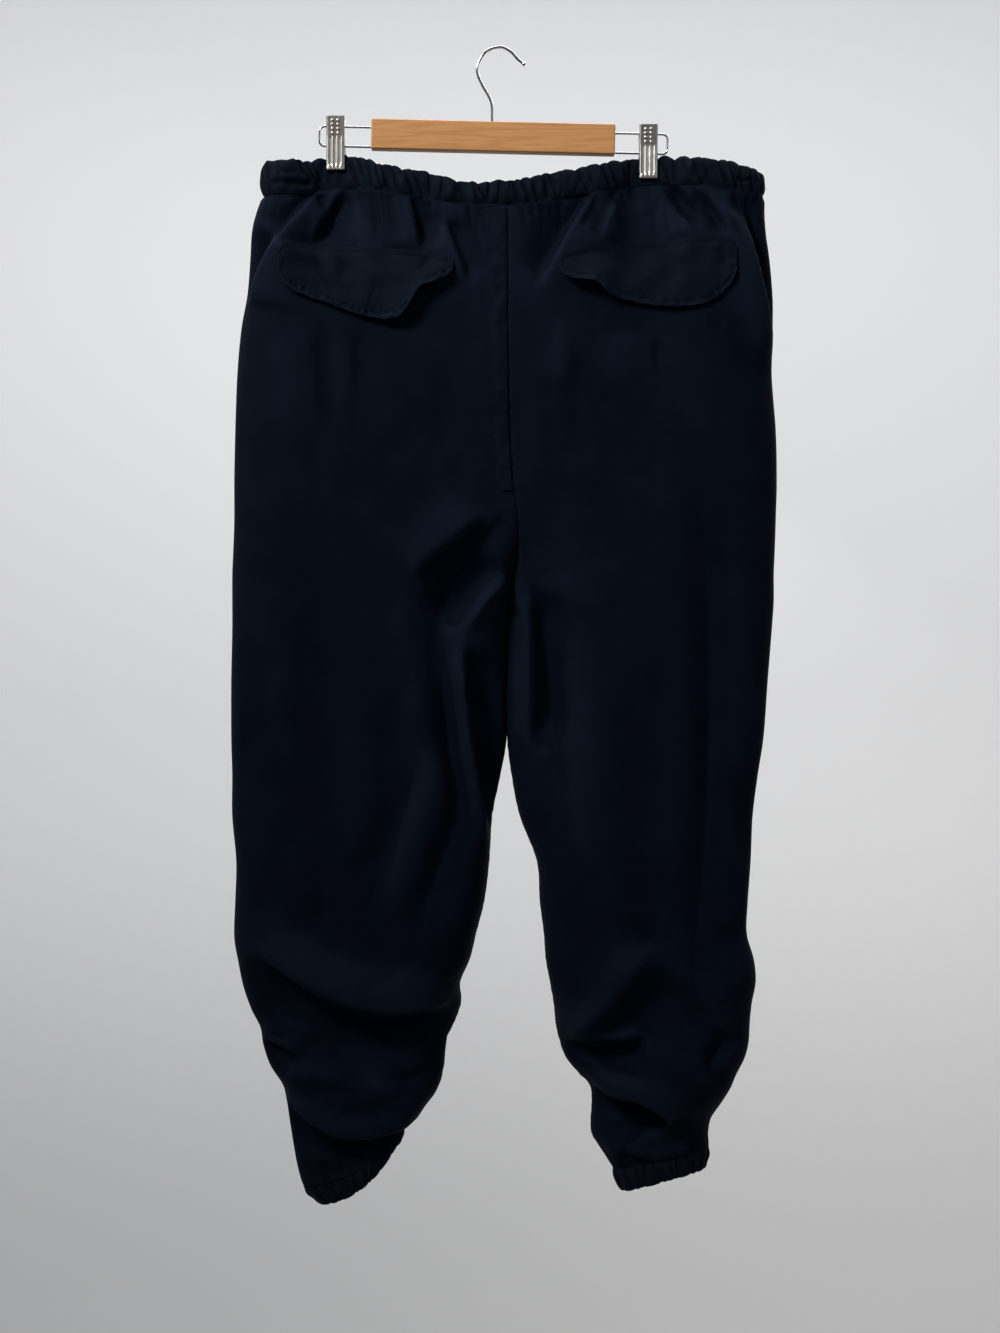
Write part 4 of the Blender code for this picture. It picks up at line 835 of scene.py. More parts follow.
def panel_surface(side, face, cloth):
    """The middle surface of a panel with all its folds, and how high they stand on it."""
    sections = panel_sections(side, cloth.row_step)
    grid = np.array([level(section, side, face, cloth.columns) for section in sections])
    grid = follow_waist(grid)
    x, z = grid[..., 0].copy(), grid[..., 2].copy()
    across, down = lengths(grid, 1), lengths(grid, 0)
    width, length = across[:, -1:], down[-1:, :]
    from_edge = np.minimum(across, width - across)
    ease = smooth(np.clip(from_edge / (SEAM_EASE * width), 0.0, 1.0))
    ends = np.clip(np.minimum(down / TOP_EASE, (length - down) / HEM_EASE), 0.0, 1.0) ** 0.6
    key = face, side
    height = sum(fold_height(fold, x, z) for fold in FOLDS[key])
    height = height + sum(crease_height(crease, x, z) for crease in CREASES[key])
    seed = RIPPLE_SEED + 7 * side + 3 * face
    loose = ripples(x, z, 130.0, seed, upright=0.3)
    loose = loose + 0.2 * ripples(x, z, 34.0, seed + 1, upright=1.2)
    height = height + cloth.ripple * loose
    seam = waist_line(x, "seam")
    top, low = bell(seam - z, 75.0), past(z, BUNCHED_BELOW + 25.0, 16.0)
    fork = np.exp(-(((x - FORK[0]) / 75.0) ** 2) - (((z - FORK[1]) / 60.0) ** 2))
    drawn = 2.2 * top * crinkles(x, z, 34.0, seed + 5, 0.3)
    drawn = drawn + low * crinkles(z + 0.25 * side * x, x, 52.0, seed + 6, 0.3)
    drawn = drawn + 0.8 * fork * crinkles(z + 0.6 * side * x, x, 36.0, seed + 7, 0.3)
    height = (height - cloth.ripple * drawn) * ease * ends
    height = height + cloth.gather * gathered(waist_gathers(side, face), x, z, seam)
    half = 0.5 * across / width
    share = half if face == FRONT else 1.0 - half
    girth = 2 * across[-1, -1]
    above = np.maximum(length - down, 0.0)
    height = height + cloth.gather * bunched(hem_gathers(side), share, above, girth)
    height = height + 0.5 * pucker(down, across, seed + 2) * ends
    turned = np.array([min(1.0, TURN_SPREAD * section.turn) for section in sections])
    rise = 0.45 * (1.0 - turned)[:, None] * bell(across, RISE_GROOVE)
    height = height - rise * (1.0 - np.exp(-down / 6.0))
    return grid + outward(grid, face) * height[..., None], height


def make_panel(side, face, cloth, finish):
    """One panel, from the waist casing to the hem casing."""
    grid, height = panel_surface(side, face, cloth)
    across, down = lengths(grid, 1), lengths(grid, 0)
    middle = down[:, cloth.columns // 2, None] + 0 * across
    # Paler on ridges and darker in creases: wear of the dye on the ridges, with painted light on the ridges
    # and painted shade in the creases.
    wear_and_fold_shade = 0.5 + 0.22 * (height - blurred(height, 3)) + 0.07 * (height - blurred(height, 14))
    name = f"{FACE_NAMES[face]}_{SIDE_NAMES[side]}"
    mesh = grid_mesh(f"{name}_panel", grid, np.stack([across, middle], -1), wear_and_fold_shade)
    panel = give_wall(add_piece(f"{name}_panel", mesh, finish), cloth.wall)
    return stand_in(panel, "cotton", name)


# ------------------------------------------------------------ the gathered casings
def ring_at(section, side, count):
    """Points round a leg at a section: across the front, then back across the back."""
    return np.vstack([level(section, side, FRONT, count), level(section, side, BACK, count)[::-1]])


def resample(line, count):
    """Points at even steps of a line's length, the direction at each, and its length."""
    run = lengths(line, 0)
    at = np.linspace(0.0, run[-1], count)
    points, ahead, behind = (
        np.column_stack([np.interp(at + shift, run, line[:, k]) for k in range(3)])
        for shift in (0.0, 3.0, -3.0)
    )
    return points, ahead - behind, run[-1]


def casing_mesh(name, seam, edge, out, bulge, pleats, closed, dents=()):
    """A tunnel of cloth from its seam to its free edge, drawn up in pleats.

    pleats holds for each one its place at the seam and at the edge, in mm along, and its depth.
    dents are folds along the casing: from and to in mm, the share of its height at both ends
    and how deep.
    """
    count = len(seam)
    along = lengths(seam, 0)
    girth = along[-1] + (along[1] if closed else 0.0)
    step = np.linspace(0.0, 1.0, CASING_POINTS)
    rise = (1.0 - np.cos(math.pi * step)) / 2
    up = np.concatenate([rise, rise[::-1][1:]])
    outside = np.arange(len(up)) < CASING_POINTS
    depth = np.zeros((count, len(up)))
    for place_seam, place_edge, deep in pleats:
        bow = 1.2 * math.sin(place_seam * 1.7)
        centre = place_seam + (place_edge - place_seam) * up + bow * np.sin(math.pi * up)
        away = along[:, None] - centre[None, :]
        if closed:
            away = (away + girth / 2) % girth - girth / 2
        depth = np.maximum(depth, 1.5 * deep * groove(away, CASING_SPREAD))
    depth = np.minimum(depth, DEEPEST_PLEAT)
    for start, end, low, high, deep in dents:
        share = np.clip((along - start) / (end - start), 0.0, 1.0)
        fade = np.sin(math.pi * share) ** 0.5
        away = (up[None, :] - (low + (high - low) * share)[:, None]) / DENT_WIDTH
        depth = np.maximum(depth, deep * fade[:, None] * np.exp(-(away**2)))
    height = np.linalg.norm(edge - seam, axis=1)[:, None]
    loose = ripples(along[:, None] + 0 * up, height * up, 13.0, 5 + count, waves=10)
    full = (1.0 - np.abs(2 * up - 1.0) ** 2.4) ** np.where(up < 0.5, 0.85, 0.5)
    foot = 0.4 * (1.0 - up) ** 5
    sunk = depth * (0.15 + 0.85 * full)
    outer = bulge[:, None] * full + foot + 0.5 * loose * full - sunk
    inner = -1.5 * full - foot + 0.35 * depth * full
    offset = np.where(outside, np.maximum(outer, inner + 0.6 * full), inner)
    at_edge = depth[:, CASING_POINTS - 1, None]
    lowered = up - (0.5 * at_edge - PLEAT_RISE) * up**3 / height
    line = seam[:, None, :] + (edge - seam)[:, None, :] * lowered[..., None]
    grid = line + out[:, None, :] * offset[..., None]
    around = lengths(np.concatenate([grid, grid[:, :1]], 1), 1)
    uv = np.stack([around[0][None, :] + 0 * around, along[:, None] + 0 * around], -1)
    # Darker at the bottom of deep pleats and paler between them: painted shade in the pleats, with wear on
    # the crests.
    wear_and_fold_shade = 0.5 + 0.3 * (blurred(depth, 6) - depth)
    if closed:
        grid = np.concatenate([grid, grid[:1]])
        uv = np.concatenate([uv, uv[:1] + [0.0, girth]])
        wear_and_fold_shade = np.concatenate([wear_and_fold_shade, wear_and_fold_shade[:1]])
    mesh = grid_mesh(name, grid, uv, wear_and_fold_shade, closed=True, capped=not closed)
    if closed:
        sewn = bmesh.new()
        sewn.from_mesh(mesh)
        bmesh.ops.remove_doubles(sewn, verts=sewn.verts, dist=1e-7)
        sewn.to_mesh(mesh)
        sewn.free()
    return mesh, grid


def make_waist_casing(side, cloth, finish):
    """One half of the waist casing, from the front seam round the side to the back."""
    ends = dict(x_in=SECTIONS[side][0].x_in - side * 0.6, x_out=CASING_END_X[side])
    top = SECTIONS[side][0]._replace(z_in=-148.0, z_out=-148.0, **ends)
    points, way, length = resample(ring_at(top, side, 200), WAIST_STATIONS)
    out = unit(np.column_stack([way[:, 1], -way[:, 0], 0 * way[:, 0]]) * side)
    seam, edge = points.copy(), points.copy()
    seam[:, 2] = waist_line(points[:, 0], "seam") - SEAM_LAP
    edge[:, 2] = waist_line(points[:, 0], "top")
    clips = [bell(points[:, 0] - clip, CLIP_HOLD, 4) for clip in CLIP_X.values()]
    run = np.linspace(0.0, length, WAIST_STATIONS)
    free = np.clip(np.minimum(run, length - run) / 9.0, 0.0, 1.0)
    uneven = free * ripples(run, 0 * run, 26.0, 61 + side, upright=0.1, waves=9)
    edge[:, 2] += 0.9 * free * ripples(run, 0 * run, 21.0, 65 + side, upright=0.1, waves=9)
    bulge = (4.6 + 0.9 * uneven) * (1.0 - 0.68 * np.max(clips, axis=0))
    half = int(np.argmax(np.abs(points[:, 0])))
    parts = {FRONT: slice(0, half), BACK: slice(half, None)}

    def runs_at(face, *places):
        """How far along the casing places across the front or the back are."""
        order = np.argsort(points[parts[face], 0])
        return np.interp(places, points[parts[face], 0][order], run[parts[face]][order])

    pleats = [
        (*runs_at(face, g.x_seam, g.x_top), cloth.gather * g.depth)
        for face in FACES
        for g in waist_gathers(side, face)
    ]
    dents = [(*runs_at(FRONT, x0, x1), *rest) for x0, x1, *rest in CASING_DENTS[side]]
    name = f"waist_casing_{SIDE_NAMES[side]}"
    mesh, grid = casing_mesh(name, seam, edge, out, bulge, pleats, False, dents)
    casing = add_piece(f"{name}_cloth", mesh, finish)
    return stand_in(casing, "casing_cotton", name), grid


def make_hem_casing(side, cloth, finish):
    """The gathered band that ends a leg."""
    (tops, way, girth), (ends, _, _) = (
        resample(np.vstack([ring, ring[:1]]), HEM_STATIONS + 1)
        for ring in (ring_at(row, side, 120) for row in (SECTIONS[side][-1], HEM_ENDS[side]))
    )
    tops, way, ends = tops[:-1], way[:-1], ends[:-1]
    down = unit(ends - tops)
    out = unit(np.cross(down, way) * side)
    seam = tops - down * SEAM_LAP
    run = np.linspace(0.0, 2 * math.pi, HEM_STATIONS, endpoint=False)
    bulge = 3.3 + 0.4 * np.sin(5 * run) + 0.3 * np.sin(11 * run + side)
    pleats = [
        (share * girth, (share + 2 * lean) * girth, cloth.gather * depth)
        for share, lean, depth, _ in hem_gathers(side)
    ]
    name = f"hem_casing_{SIDE_NAMES[side]}"
    mesh, grid = casing_mesh(name, seam, ends, out, bulge, pleats, True)
    casing = add_piece(f"{name}_cloth", mesh, finish)
    return stand_in(casing, "casing_cotton", name), grid


# ------------------------------------------------------------ what lies on the fronts
def smooth_rows(table, count):
    """A table's rows at even steps of their first column, on a smooth curve through them."""
    made = rows_between(table, np.linspace(0.0, len(table) - 1.0, 12 * len(table)))
    order = np.argsort(made[:, 0])
    even = np.linspace(made[order[0], 0], made[order[-1], 0], count)
    rest = [np.interp(even, made[order, 0], made[order, k]) for k in range(1, made.shape[1])]
    return np.column_stack([even] + rest)


def lay_grid(tree, x, z, spread, smoothing):
    """How far out a surface stands over a grid of points, smoothed as laid cloth would be."""
    y = np.zeros_like(x)
    for place in np.ndindex(x.shape):
        found = stands_out(tree, x[place], z[place], spread=spread)
        y[place] = np.nan if found is None else found
    return blurred(y, smoothing)


def make_flap(side, tree, finish):
    """A pocket flap that lies on the leg, its edges puckered by their stitching."""
    table = smooth_rows(FLAPS[side], FLAP_COLUMNS)
    down = np.linspace(0.0, 1.0, FLAP_ROWS)[:, None]
    x = table[None, :, 0] + 0 * down
    z = table[None, :, 1] + down * (table[:, 2] - table[:, 1])[None, :]
    y = lay_grid(tree, x, z, 4.0, 2)
    lay = FLAP_CLEARANCE + FLAP_WALL / 2
    lift = table[None, :, 3] * down**1.6
    ragged = 0.5 * ripples(x, 0 * z, 19.0, 90 + side, upright=0.1, waves=9)
    grid = np.stack([x, y - lay - lift, z + ragged * down**3], -1)
    across, along = lengths(grid, 1), lengths(grid, 0)
    width, height = across[:, -1:], along[-1:, :]
    edge = np.minimum(np.minimum(across, width - across), height - along)
    seed = 31 + side
    wave = ripples(x, z, 9.0, seed, upright=1.4, waves=9)
    near = bell(edge - STITCH_INSET * 0.6, 4.5)
    relief = 0.8 * wave * near + 0.9 * ripples(x, z, 34.0, seed + 1, upright=1.2)
    relief = relief + sum(crease_height(crease, x, z) for crease in FLAP_CREASES[side])
    relief = relief - 0.55 * bell(edge - STITCH_INSET, 1.6)
    relief = relief - 0.5 * bell(along - WELT_INSET, 1.4)
    if side == RIGHT:
        relief = relief - 0.45 * hole_relief(x, z)
    relief = relief * np.clip(edge / 2.0, 0.0, 1.0)
    grid[..., 1] -= relief
    # Paler at its edge and on its ridges, darker in its hollows: wear on the edge and ridges, with painted
    # light on the ridges and painted shade in the hollows.
    wear_and_fold_shade = 0.5 + 0.3 * (relief - blurred(relief, 2)) + 0.25 * bell(edge, 2.0)
    name = f"flap_{SIDE_NAMES[side]}"
    mesh = grid_mesh(name, grid, np.stack([across, along], -1), wear_and_fold_shade.ravel())
    flap = give_wall(add_piece(f"{name}_cloth", mesh, finish), FLAP_WALL)
    soft = flap.modifiers.new("Soft edges", "BEVEL")
    soft.width = 0.5 * MM
    soft.segments = 2
    soft.limit_method = "ANGLE"
    return stand_in(flap, "flap_cotton", name)


def hole_relief(x, z):
    """The hollow along the blind buttonhole's slit."""
    (x0, z0), (x1, z1) = BUTTONHOLE
    distance, _, _ = along_curve((x0, z0), ((x0 + x1) / 2, (z0 + z1) / 2), (x1, z1), x, z, 4)
    return bell(distance, 1.1)


def make_placket(tree, finish):
    """The strip over the closed fly, drawn in at its bartacks."""
    table = smooth_rows([(row.z, row.x_left, row.x_right) for row in reversed(PLACKET)], 170)
    across = np.linspace(0.0, 1.0, 13)[None, :]
    x = table[:, 1:2] + across * (table[:, 2:3] - table[:, 1:2])
    z = table[:, 0:1] + 0 * across
    y = lay_grid(tree, x, z, 2.5, 2)
    grid = np.stack([x, y - PLACKET_CLEARANCE - PLACKET_WALL / 2, z], -1)
    tacked = sum(bell(z - height, 4.0) for height in BARTACKS)
    loose = ripples(x, z, 16.0, 55, upright=2.2, waves=8)
    relief = 0.45 * loose * np.sin(math.pi * across) ** 0.5 - 0.45 * tacked
    tab = 1.0 / (1.0 + np.exp((TAB_FOOT - z) / 3.0))
    relief = relief - PLACKET_SINK * (1.0 - tab) * bell(across, 0.22)
    relief = relief - 0.5 * PLACKET_SINK * bell(1.0 - across, 0.12)
    grid[..., 1] -= relief
    # Paler on its ridges and darker in its hollows: wear on the ridges, with painted light on the ridges
    # and painted shade in the hollows.
    wear_and_fold_shade = 0.5 + 0.3 * (relief - blurred(relief, 3))
    mesh = grid_mesh("fly_placket", grid, surface_uv(grid), wear_and_fold_shade.ravel())
    placket = give_wall(add_piece("fly_placket_cloth", mesh, finish), PLACKET_WALL)
    return stand_in(placket, "cotton", "fly_placket")


# ------------------------------------------------------------ stitches
def socket_named(tree, name):
    """The identifier of a node tree's input, by its name."""
    for item in tree.interface.items_tree:
        if item.name == name and item.in_out == "INPUT":
            return item.identifier
    raise KeyError(name)


def add_node(tree, kind, links=(), **values):
    """Adds a node, sets its properties and input values, and links sockets into it.

    links is pairs of an input's name or number and the socket that feeds it.
    """
    node = tree.nodes.new(kind)
    for name, value in values.items():
        if name == "inputs":
            for key, setting in value.items():
                node.inputs[key].default_value = setting
        else:
            setattr(node, name, value)
    for key, source in links:
        tree.links.new(source, node.inputs[key])
    return node


def stitch_tree():
    """Geometry nodes that lay stitches along lines: one slim bead for each pitch of thread."""
    found = bpy.data.node_groups.get("Stitches")
    if found:
        return found
    tree = bpy.data.node_groups.new("Stitches", "GeometryNodeTree")
    face = tree.interface
    face.new_socket("Geometry", in_out="INPUT", socket_type="NodeSocketGeometry")
    for name, value in (("Pitch", 0.0032), ("Length", 0.0026), ("Thread", 0.0006), ("Turn", 0.0)):
        made = face.new_socket(name, in_out="INPUT", socket_type="NodeSocketFloat")
        made.default_value = value
    face.new_socket("Material", in_out="INPUT", socket_type="NodeSocketMaterial")
    face.new_socket("Geometry", in_out="OUTPUT", socket_type="NodeSocketGeometry")
    start = add_node(tree, "NodeGroupInput").outputs
    line = add_node(tree, "GeometryNodeMeshToCurve", [("Mesh", start["Geometry"])])
    even = add_node(
        tree, "GeometryNodeResampleCurve",
        [("Curve", line.outputs["Curve"]), ("Length", start["Pitch"])], mode="LENGTH"
    )
    bead = add_node(
        tree, "GeometryNodeMeshUVSphere", inputs={"Segments": 6, "Rings": 4, "Radius": 0.5}
    )
    way = add_node(tree, "GeometryNodeInputTangent")
    aim = add_node(
        tree, "FunctionNodeAlignRotationToVector", [("Vector", way.outputs["Tangent"])], axis="X"
    )
    turned = add_node(tree, "ShaderNodeCombineXYZ", [("Y", start["Turn"])])
    spin = add_node(tree, "FunctionNodeEulerToRotation", [("Euler", turned.outputs["Vector"])])
    both = add_node(
        tree, "FunctionNodeRotateRotation",
        [("Rotation", aim.outputs["Rotation"]), ("Rotate By", spin.outputs["Rotation"])],
        rotation_space="LOCAL"
    )
    size = add_node(
        tree, "ShaderNodeCombineXYZ",
        [("X", start["Length"]), ("Y", start["Thread"]), ("Z", start["Thread"])]
    )
    laid = add_node(
        tree, "GeometryNodeInstanceOnPoints",
        [("Points", even.outputs["Curve"]), ("Instance", bead.outputs["Mesh"]),
            ("Rotation", both.outputs["Rotation"]), ("Scale", size.outputs["Vector"])]
    )
    real = add_node(tree, "GeometryNodeRealizeInstances", [("Geometry", laid.outputs["Instances"])])
    dyed = add_node(
        tree, "GeometryNodeSetMaterial",
        [("Geometry", real.outputs["Geometry"]), ("Material", start["Material"])]
    )
    add_node(tree, "NodeGroupOutput", [("Geometry", dyed.outputs["Geometry"])])
    return tree


def make_stitches(name, lines, finish, pitch=3.2, length=2.6, thread=0.6, turn=0.0):
    """Stitches along lines of points in millimetres, as one mesh."""
    points, edges = [], []
    for line in lines:
        start = len(points)
        points += [Vector(point) * MM for point in line]
        edges += [(start + k, start + k + 1) for k in range(len(line) - 1)]
    guide = bpy.data.meshes.new(name)
    guide.from_pydata(points, edges, [])
    obj = place(name, guide)
    sewing = obj.modifiers.new("Stitches", "NODES")
    tree = stitch_tree()
    settings = {
        "Pitch": pitch * MM,
        "Length": length * MM,
        "Thread": thread * MM,
        "Turn": turn,
        "Material": finish,
    }
    sewing.node_group = tree
    for key, value in settings.items():
        sewing[socket_named(tree, key)] = value
    sewn = plain_mesh(obj)
    obj.modifiers.clear()
    obj.data = sewn
    bpy.data.meshes.remove(guide)
    sewn.name = name
    sewn.shade_smooth()
    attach(obj, "root")
    return obj


def laid_line(tree, points, face=FRONT, step=1.6, proud=0.02):
    """A line of the front or back view, laid on a surface and standing a little proud of it."""
    points = np.array(points, float)
    run = lengths(points, 0)
    at = np.linspace(0.0, run[-1], max(int(run[-1] / step), 2))
    xs, zs = (np.interp(at, run, points[:, k]) for k in (0, 1))
    line = []
    for x, z in zip(xs, zs):
        y = stands_out(tree, x, z, face)
        if y is not None:
            line.append((x, y + face * proud, z))
    return line


# ------------------------------------------------------------ materials
# Sizes of the patterns, in metres
TWILL_LINES = 0.0011       # coarser than real twill, so that it shows
SLUB = 1 / 900             # lumps in the yarn
WASH_CLOUD = 1 / 26
PLY = 1 / 1500             # the twist of the thread
WEAR_PATCH = 1 / 260
ROLLER_GRAIN = 1 / 120
WAVE_UNIT = 2 * math.pi / 10       # the Wave node's scale for one line to a metre
BANDS_PHASE = 46.0         # how much phase the late wood's bands run through


def new_material(name, slot):
    """A material with only its shader and output, and the slot that it stands for."""
    made = bpy.data.materials.new(name)
    made.use_nodes = True
    made.node_tree.nodes.clear()
    made["slot"] = slot
    return made, made.node_tree


def finish_shader(tree, links, **inputs):
    """The material's surface and its output."""
    shader = add_node(tree, "ShaderNodeBsdfPrincipled", links, inputs=inputs)
    add_node(tree, "ShaderNodeOutputMaterial", [("Surface", shader.outputs["BSDF"])])


def cotton_material(name, slot, base, faded, mottle):
    """Cotton twill, piece-dyed sulphur black and garment-washed.

    It looks matt and nearly black with a cast of navy and cloudy from the wash. It is paler
    along its ridges and darker in its creases: partly dye rubbed off the ridges, partly painted
    light on the ridges and painted shade in the creases.
    """
    made, tree = new_material(name, slot)
    cloth = add_node(tree, "ShaderNodeUVMap", uv_map="cloth").outputs["UV"]
    where = add_node(tree, "ShaderNodeTexCoord").outputs["Object"]
    lines = add_node(
        tree, "ShaderNodeTexWave", [("Vector", cloth)], wave_type="BANDS",
        bands_direction="DIAGONAL",
        inputs={"Scale": WAVE_UNIT / TWILL_LINES, "Distortion": 0.6, "Detail": 1.0}
    )
    slub = add_node(
        tree, "ShaderNodeTexNoise", [("Vector", cloth)], inputs={"Scale": 1 / SLUB, "Detail": 2.0}
    )
    clouds = add_node(
        tree, "ShaderNodeTexNoise", [("Vector", where)],
        inputs={"Scale": 1 / WASH_CLOUD, "Detail": 5.0, "Roughness": 0.62}
    )
    # Paleness from the folds: painted light on the ridges and painted shade in the creases, mixed with real
    # wear of the dye. The wash clouds below are the cloth's own uneven colour.
    worn_and_shaded = add_node(tree, "ShaderNodeAttribute", attribute_name="wear_and_fold_shade")
    ridge = add_node(
        tree, "ShaderNodeMapRange", [("Value", worn_and_shaded.outputs["Fac"])],
        inputs={"From Min": 0.42, "From Max": 0.85, "To Min": 0.0, "To Max": 0.75}
    )
    cloud = add_node(
        tree, "ShaderNodeMapRange", [("Value", clouds.outputs["Fac"])],
        inputs={"From Min": 0.35, "From Max": 0.75, "To Min": 0.0, "To Max": mottle}
    )
    pale = add_node(
        tree, "ShaderNodeMath", [(0, ridge.outputs["Result"]), (1, cloud.outputs["Result"])],
        operation="ADD", use_clamp=True
    )
    colour = add_node(
        tree, "ShaderNodeMix", [("Factor", pale.outputs["Value"])], data_type="RGBA",
        inputs={6: (*base, 1.0), 7: (*faded, 1.0)}
    )
    weave = add_node(
        tree, "ShaderNodeMath", [(0, lines.outputs["Fac"]), (1, slub.outputs["Fac"])],
        operation="ADD"
    )
    bump = add_node(
        tree, "ShaderNodeBump", [("Height", weave.outputs["Value"])],
        inputs={"Strength": 0.22, "Distance": 0.0003}
    )
    finish_shader(
        tree, [("Base Color", colour.outputs[2]), ("Normal", bump.outputs["Normal"])],
        **{"Roughness": 0.7, "Specular IOR Level": 0.05,
            "Specular Tint": (*linear("#93b4e6"), 1.0), "Sheen Weight": 0.012,
            "Sheen Roughness": 0.4, "Sheen Tint": (*linear("#8fa9d8"), 1.0)}
    )
    return made


def thread_material(colour):
    """Spun polyester sewing thread, dyed black.

    It has a faint shine, broken by its twist.
    """
    made, tree = new_material("spun polyester thread", "cotton")
    twist = add_node(tree, "ShaderNodeTexCoord").outputs["Object"]
    ply = add_node(tree, "ShaderNodeTexNoise", [("Vector", twist)], inputs={"Scale": 1 / PLY})
    bump = add_node(
        tree, "ShaderNodeBump", [("Height", ply.outputs["Fac"])],
        inputs={"Strength": 0.3, "Distance": 0.0002}
    )
    finish_shader(
        tree, [("Normal", bump.outputs["Normal"])],
        **{"Base Color": (*colour, 1.0), "Roughness": 0.6, "Specular IOR Level": 0.08}
    )
    return made


def beech_material(wood, grain):
    """Steamed beech, planed and varnished clear.

    Long darker bands of late wood flow along the bar, with short dark rays between them, under
    a thin satin gloss.
    """
    made, tree = new_material("varnished beech", "beech")
    where = add_node(tree, "ShaderNodeTexCoord").outputs["Object"]
    long = add_node(
        tree, "ShaderNodeMapping", [("Vector", where)],
        inputs={"Location": (0.31, 0.0, 0.17), "Scale": (2.6, 40.0, 34.0)}
    )
    flow = add_node(
        tree, "ShaderNodeTexNoise", [("Vector", long.outputs["Vector"])],
        inputs={"Scale": 1.0, "Detail": 3.0, "Roughness": 0.5, "Distortion": 1.2}
    )
    bands = add_node(
        tree, "ShaderNodeMath", [(0, flow.outputs["Fac"])], operation="MULTIPLY",
        inputs={1: BANDS_PHASE}
    )
    rings = add_node(tree, "ShaderNodeMath", [(0, bands.outputs["Value"])], operation="SINE")
    late = add_node(
        tree, "ShaderNodeMapRange", [("Value", rings.outputs["Value"])],
        inputs={"From Min": -0.9, "From Max": 1.0, "To Min": 0.0, "To Max": 0.6}
    )
    fine = add_node(
        tree, "ShaderNodeMapping", [("Vector", where)], inputs={"Scale": (90.0, 900.0, 1400.0)}
    )
    rays = add_node(
        tree, "ShaderNodeTexNoise", [("Vector", fine.outputs["Vector"])],
        inputs={"Scale": 1.0, "Detail": 2.0}
    )
    fleck = add_node(
        tree, "ShaderNodeMapRange", [("Value", rays.outputs["Fac"])],
        inputs={"From Min": 0.55, "From Max": 0.75, "To Min": 0.0, "To Max": 0.45}
    )
    dark = add_node(
        tree, "ShaderNodeMath", [(0, late.outputs["Result"]), (1, fleck.outputs["Result"])],
        operation="ADD", use_clamp=True
    )
    colour = add_node(
        tree, "ShaderNodeMix", [("Factor", dark.outputs["Value"])], data_type="RGBA",
        inputs={6: (*wood, 1.0), 7: (*grain, 1.0)}
    )
    bump = add_node(
        tree, "ShaderNodeBump", [("Height", dark.outputs["Value"])],
        inputs={"Strength": 0.12, "Distance": 0.0003}
    )
    finish_shader(
        tree, [("Base Color", colour.outputs[2]), ("Normal", bump.outputs["Normal"])],
        **{"Roughness": 0.5, "Specular IOR Level": 0.3, "Coat Weight": 0.08,
            "Coat Roughness": 0.3}
    )
    return made


def metal_material(name, slot, colour, roughness, scratch):
    """Bright plating over drawn or pressed steel.

    It mirrors the room, a little blurred where fine wear has dulled it.
    """
    made, tree = new_material(name, slot)
    where = add_node(tree, "ShaderNodeTexCoord").outputs["Object"]
    wear = add_node(
        tree, "ShaderNodeTexNoise", [("Vector", where)],
        inputs={"Scale": 1 / WEAR_PATCH, "Detail": 4.0, "Roughness": 0.65}
    )
    rough = add_node(
        tree, "ShaderNodeMapRange", [("Value", wear.outputs["Fac"])],
        inputs={"From Min": 0.3, "From Max": 0.75, "To Min": roughness,
            "To Max": roughness + scratch}
    )
    finish_shader(
        tree, [("Roughness", rough.outputs["Result"])],
        **{"Base Color": (*colour, 1.0), "Metallic": 1.0}
    )
    return made


def wall_material(colour):
    """Matt emulsion on plaster, rolled on.

    The backdrop is flat and pale with a hardly visible grain. Painted shade darkens it
    towards its foot, where less light falls.
    """
    made, tree = new_material("matt paint", "backdrop")
    where = add_node(tree, "ShaderNodeTexCoord").outputs["Object"]
    roller = add_node(
        tree, "ShaderNodeTexNoise", [("Vector", where)], inputs={"Scale": 1 / ROLLER_GRAIN}
    )
    bump = add_node(
        tree, "ShaderNodeBump", [("Height", roller.outputs["Fac"])],
        inputs={"Strength": 0.04, "Distance": 0.001}
    )
    height = add_node(tree, "ShaderNodeSeparateXYZ", [("Vector", where)])
    # Painted shade: the paint turns darker towards the foot of the backdrop, where less light falls.
    shade = add_node(
        tree, "ShaderNodeMapRange", [("Value", height.outputs["Z"])],
        interpolation_type="SMOOTHSTEP",
        inputs={"From Min": -2.25, "From Max": -0.6, "To Min": 1.0, "To Max": 0.0}
    )
    tone = add_node(
        tree, "ShaderNodeMix", [("Factor", shade.outputs["Result"])], data_type="RGBA",
        inputs={6: (*colour, 1.0), 7: (*(0.5 * c for c in colour), 1.0)}
    )
    finish_shader(
        tree, [("Base Color", tone.outputs[2]), ("Normal", bump.outputs["Normal"])],
        **{"Roughness": 0.95, "Specular IOR Level": 0.1}
    )
    return made


# ------------------------------------------------------------ the hanger
HOOK_WIRE = 3.0
RAIL_WIRE = 2.3
BAR_SIZE = (243.5, 12.0, 30.0)
BAR_CENTRE = (-6.8, 0.0, -89.2)
BAR_TILT = math.radians(1.36)
BAR_EDGE = 1.4
RAIL_HEIGHTS = (7.2, -12.4)
RAIL_REACH = {RIGHT: -173.5, LEFT: 174.5}
RAIL_BEND = 5.0
RAIL_SUNK = 4.0            # how deep the rails' ends show as sunk into the bar
HOOK_POINTS = (
    (-7.7, -79.0),
    (-7.7, -70.0),
    (-8.7, -53.5),
    (-17.2, -37.5),
    (-22.2, -25.5),
    (-21.9, -15.5),
    (-14.1, -3.2),
    (0.0, 1.5),
    (10.3, -2.8),
    (18.3, -11.2),
    (25.9, -16.8),
)
BEAD = (1.0, 1.05, 1.3, 1.5, 1.45, 1.25, 0.8)      # how the wire swells to its end

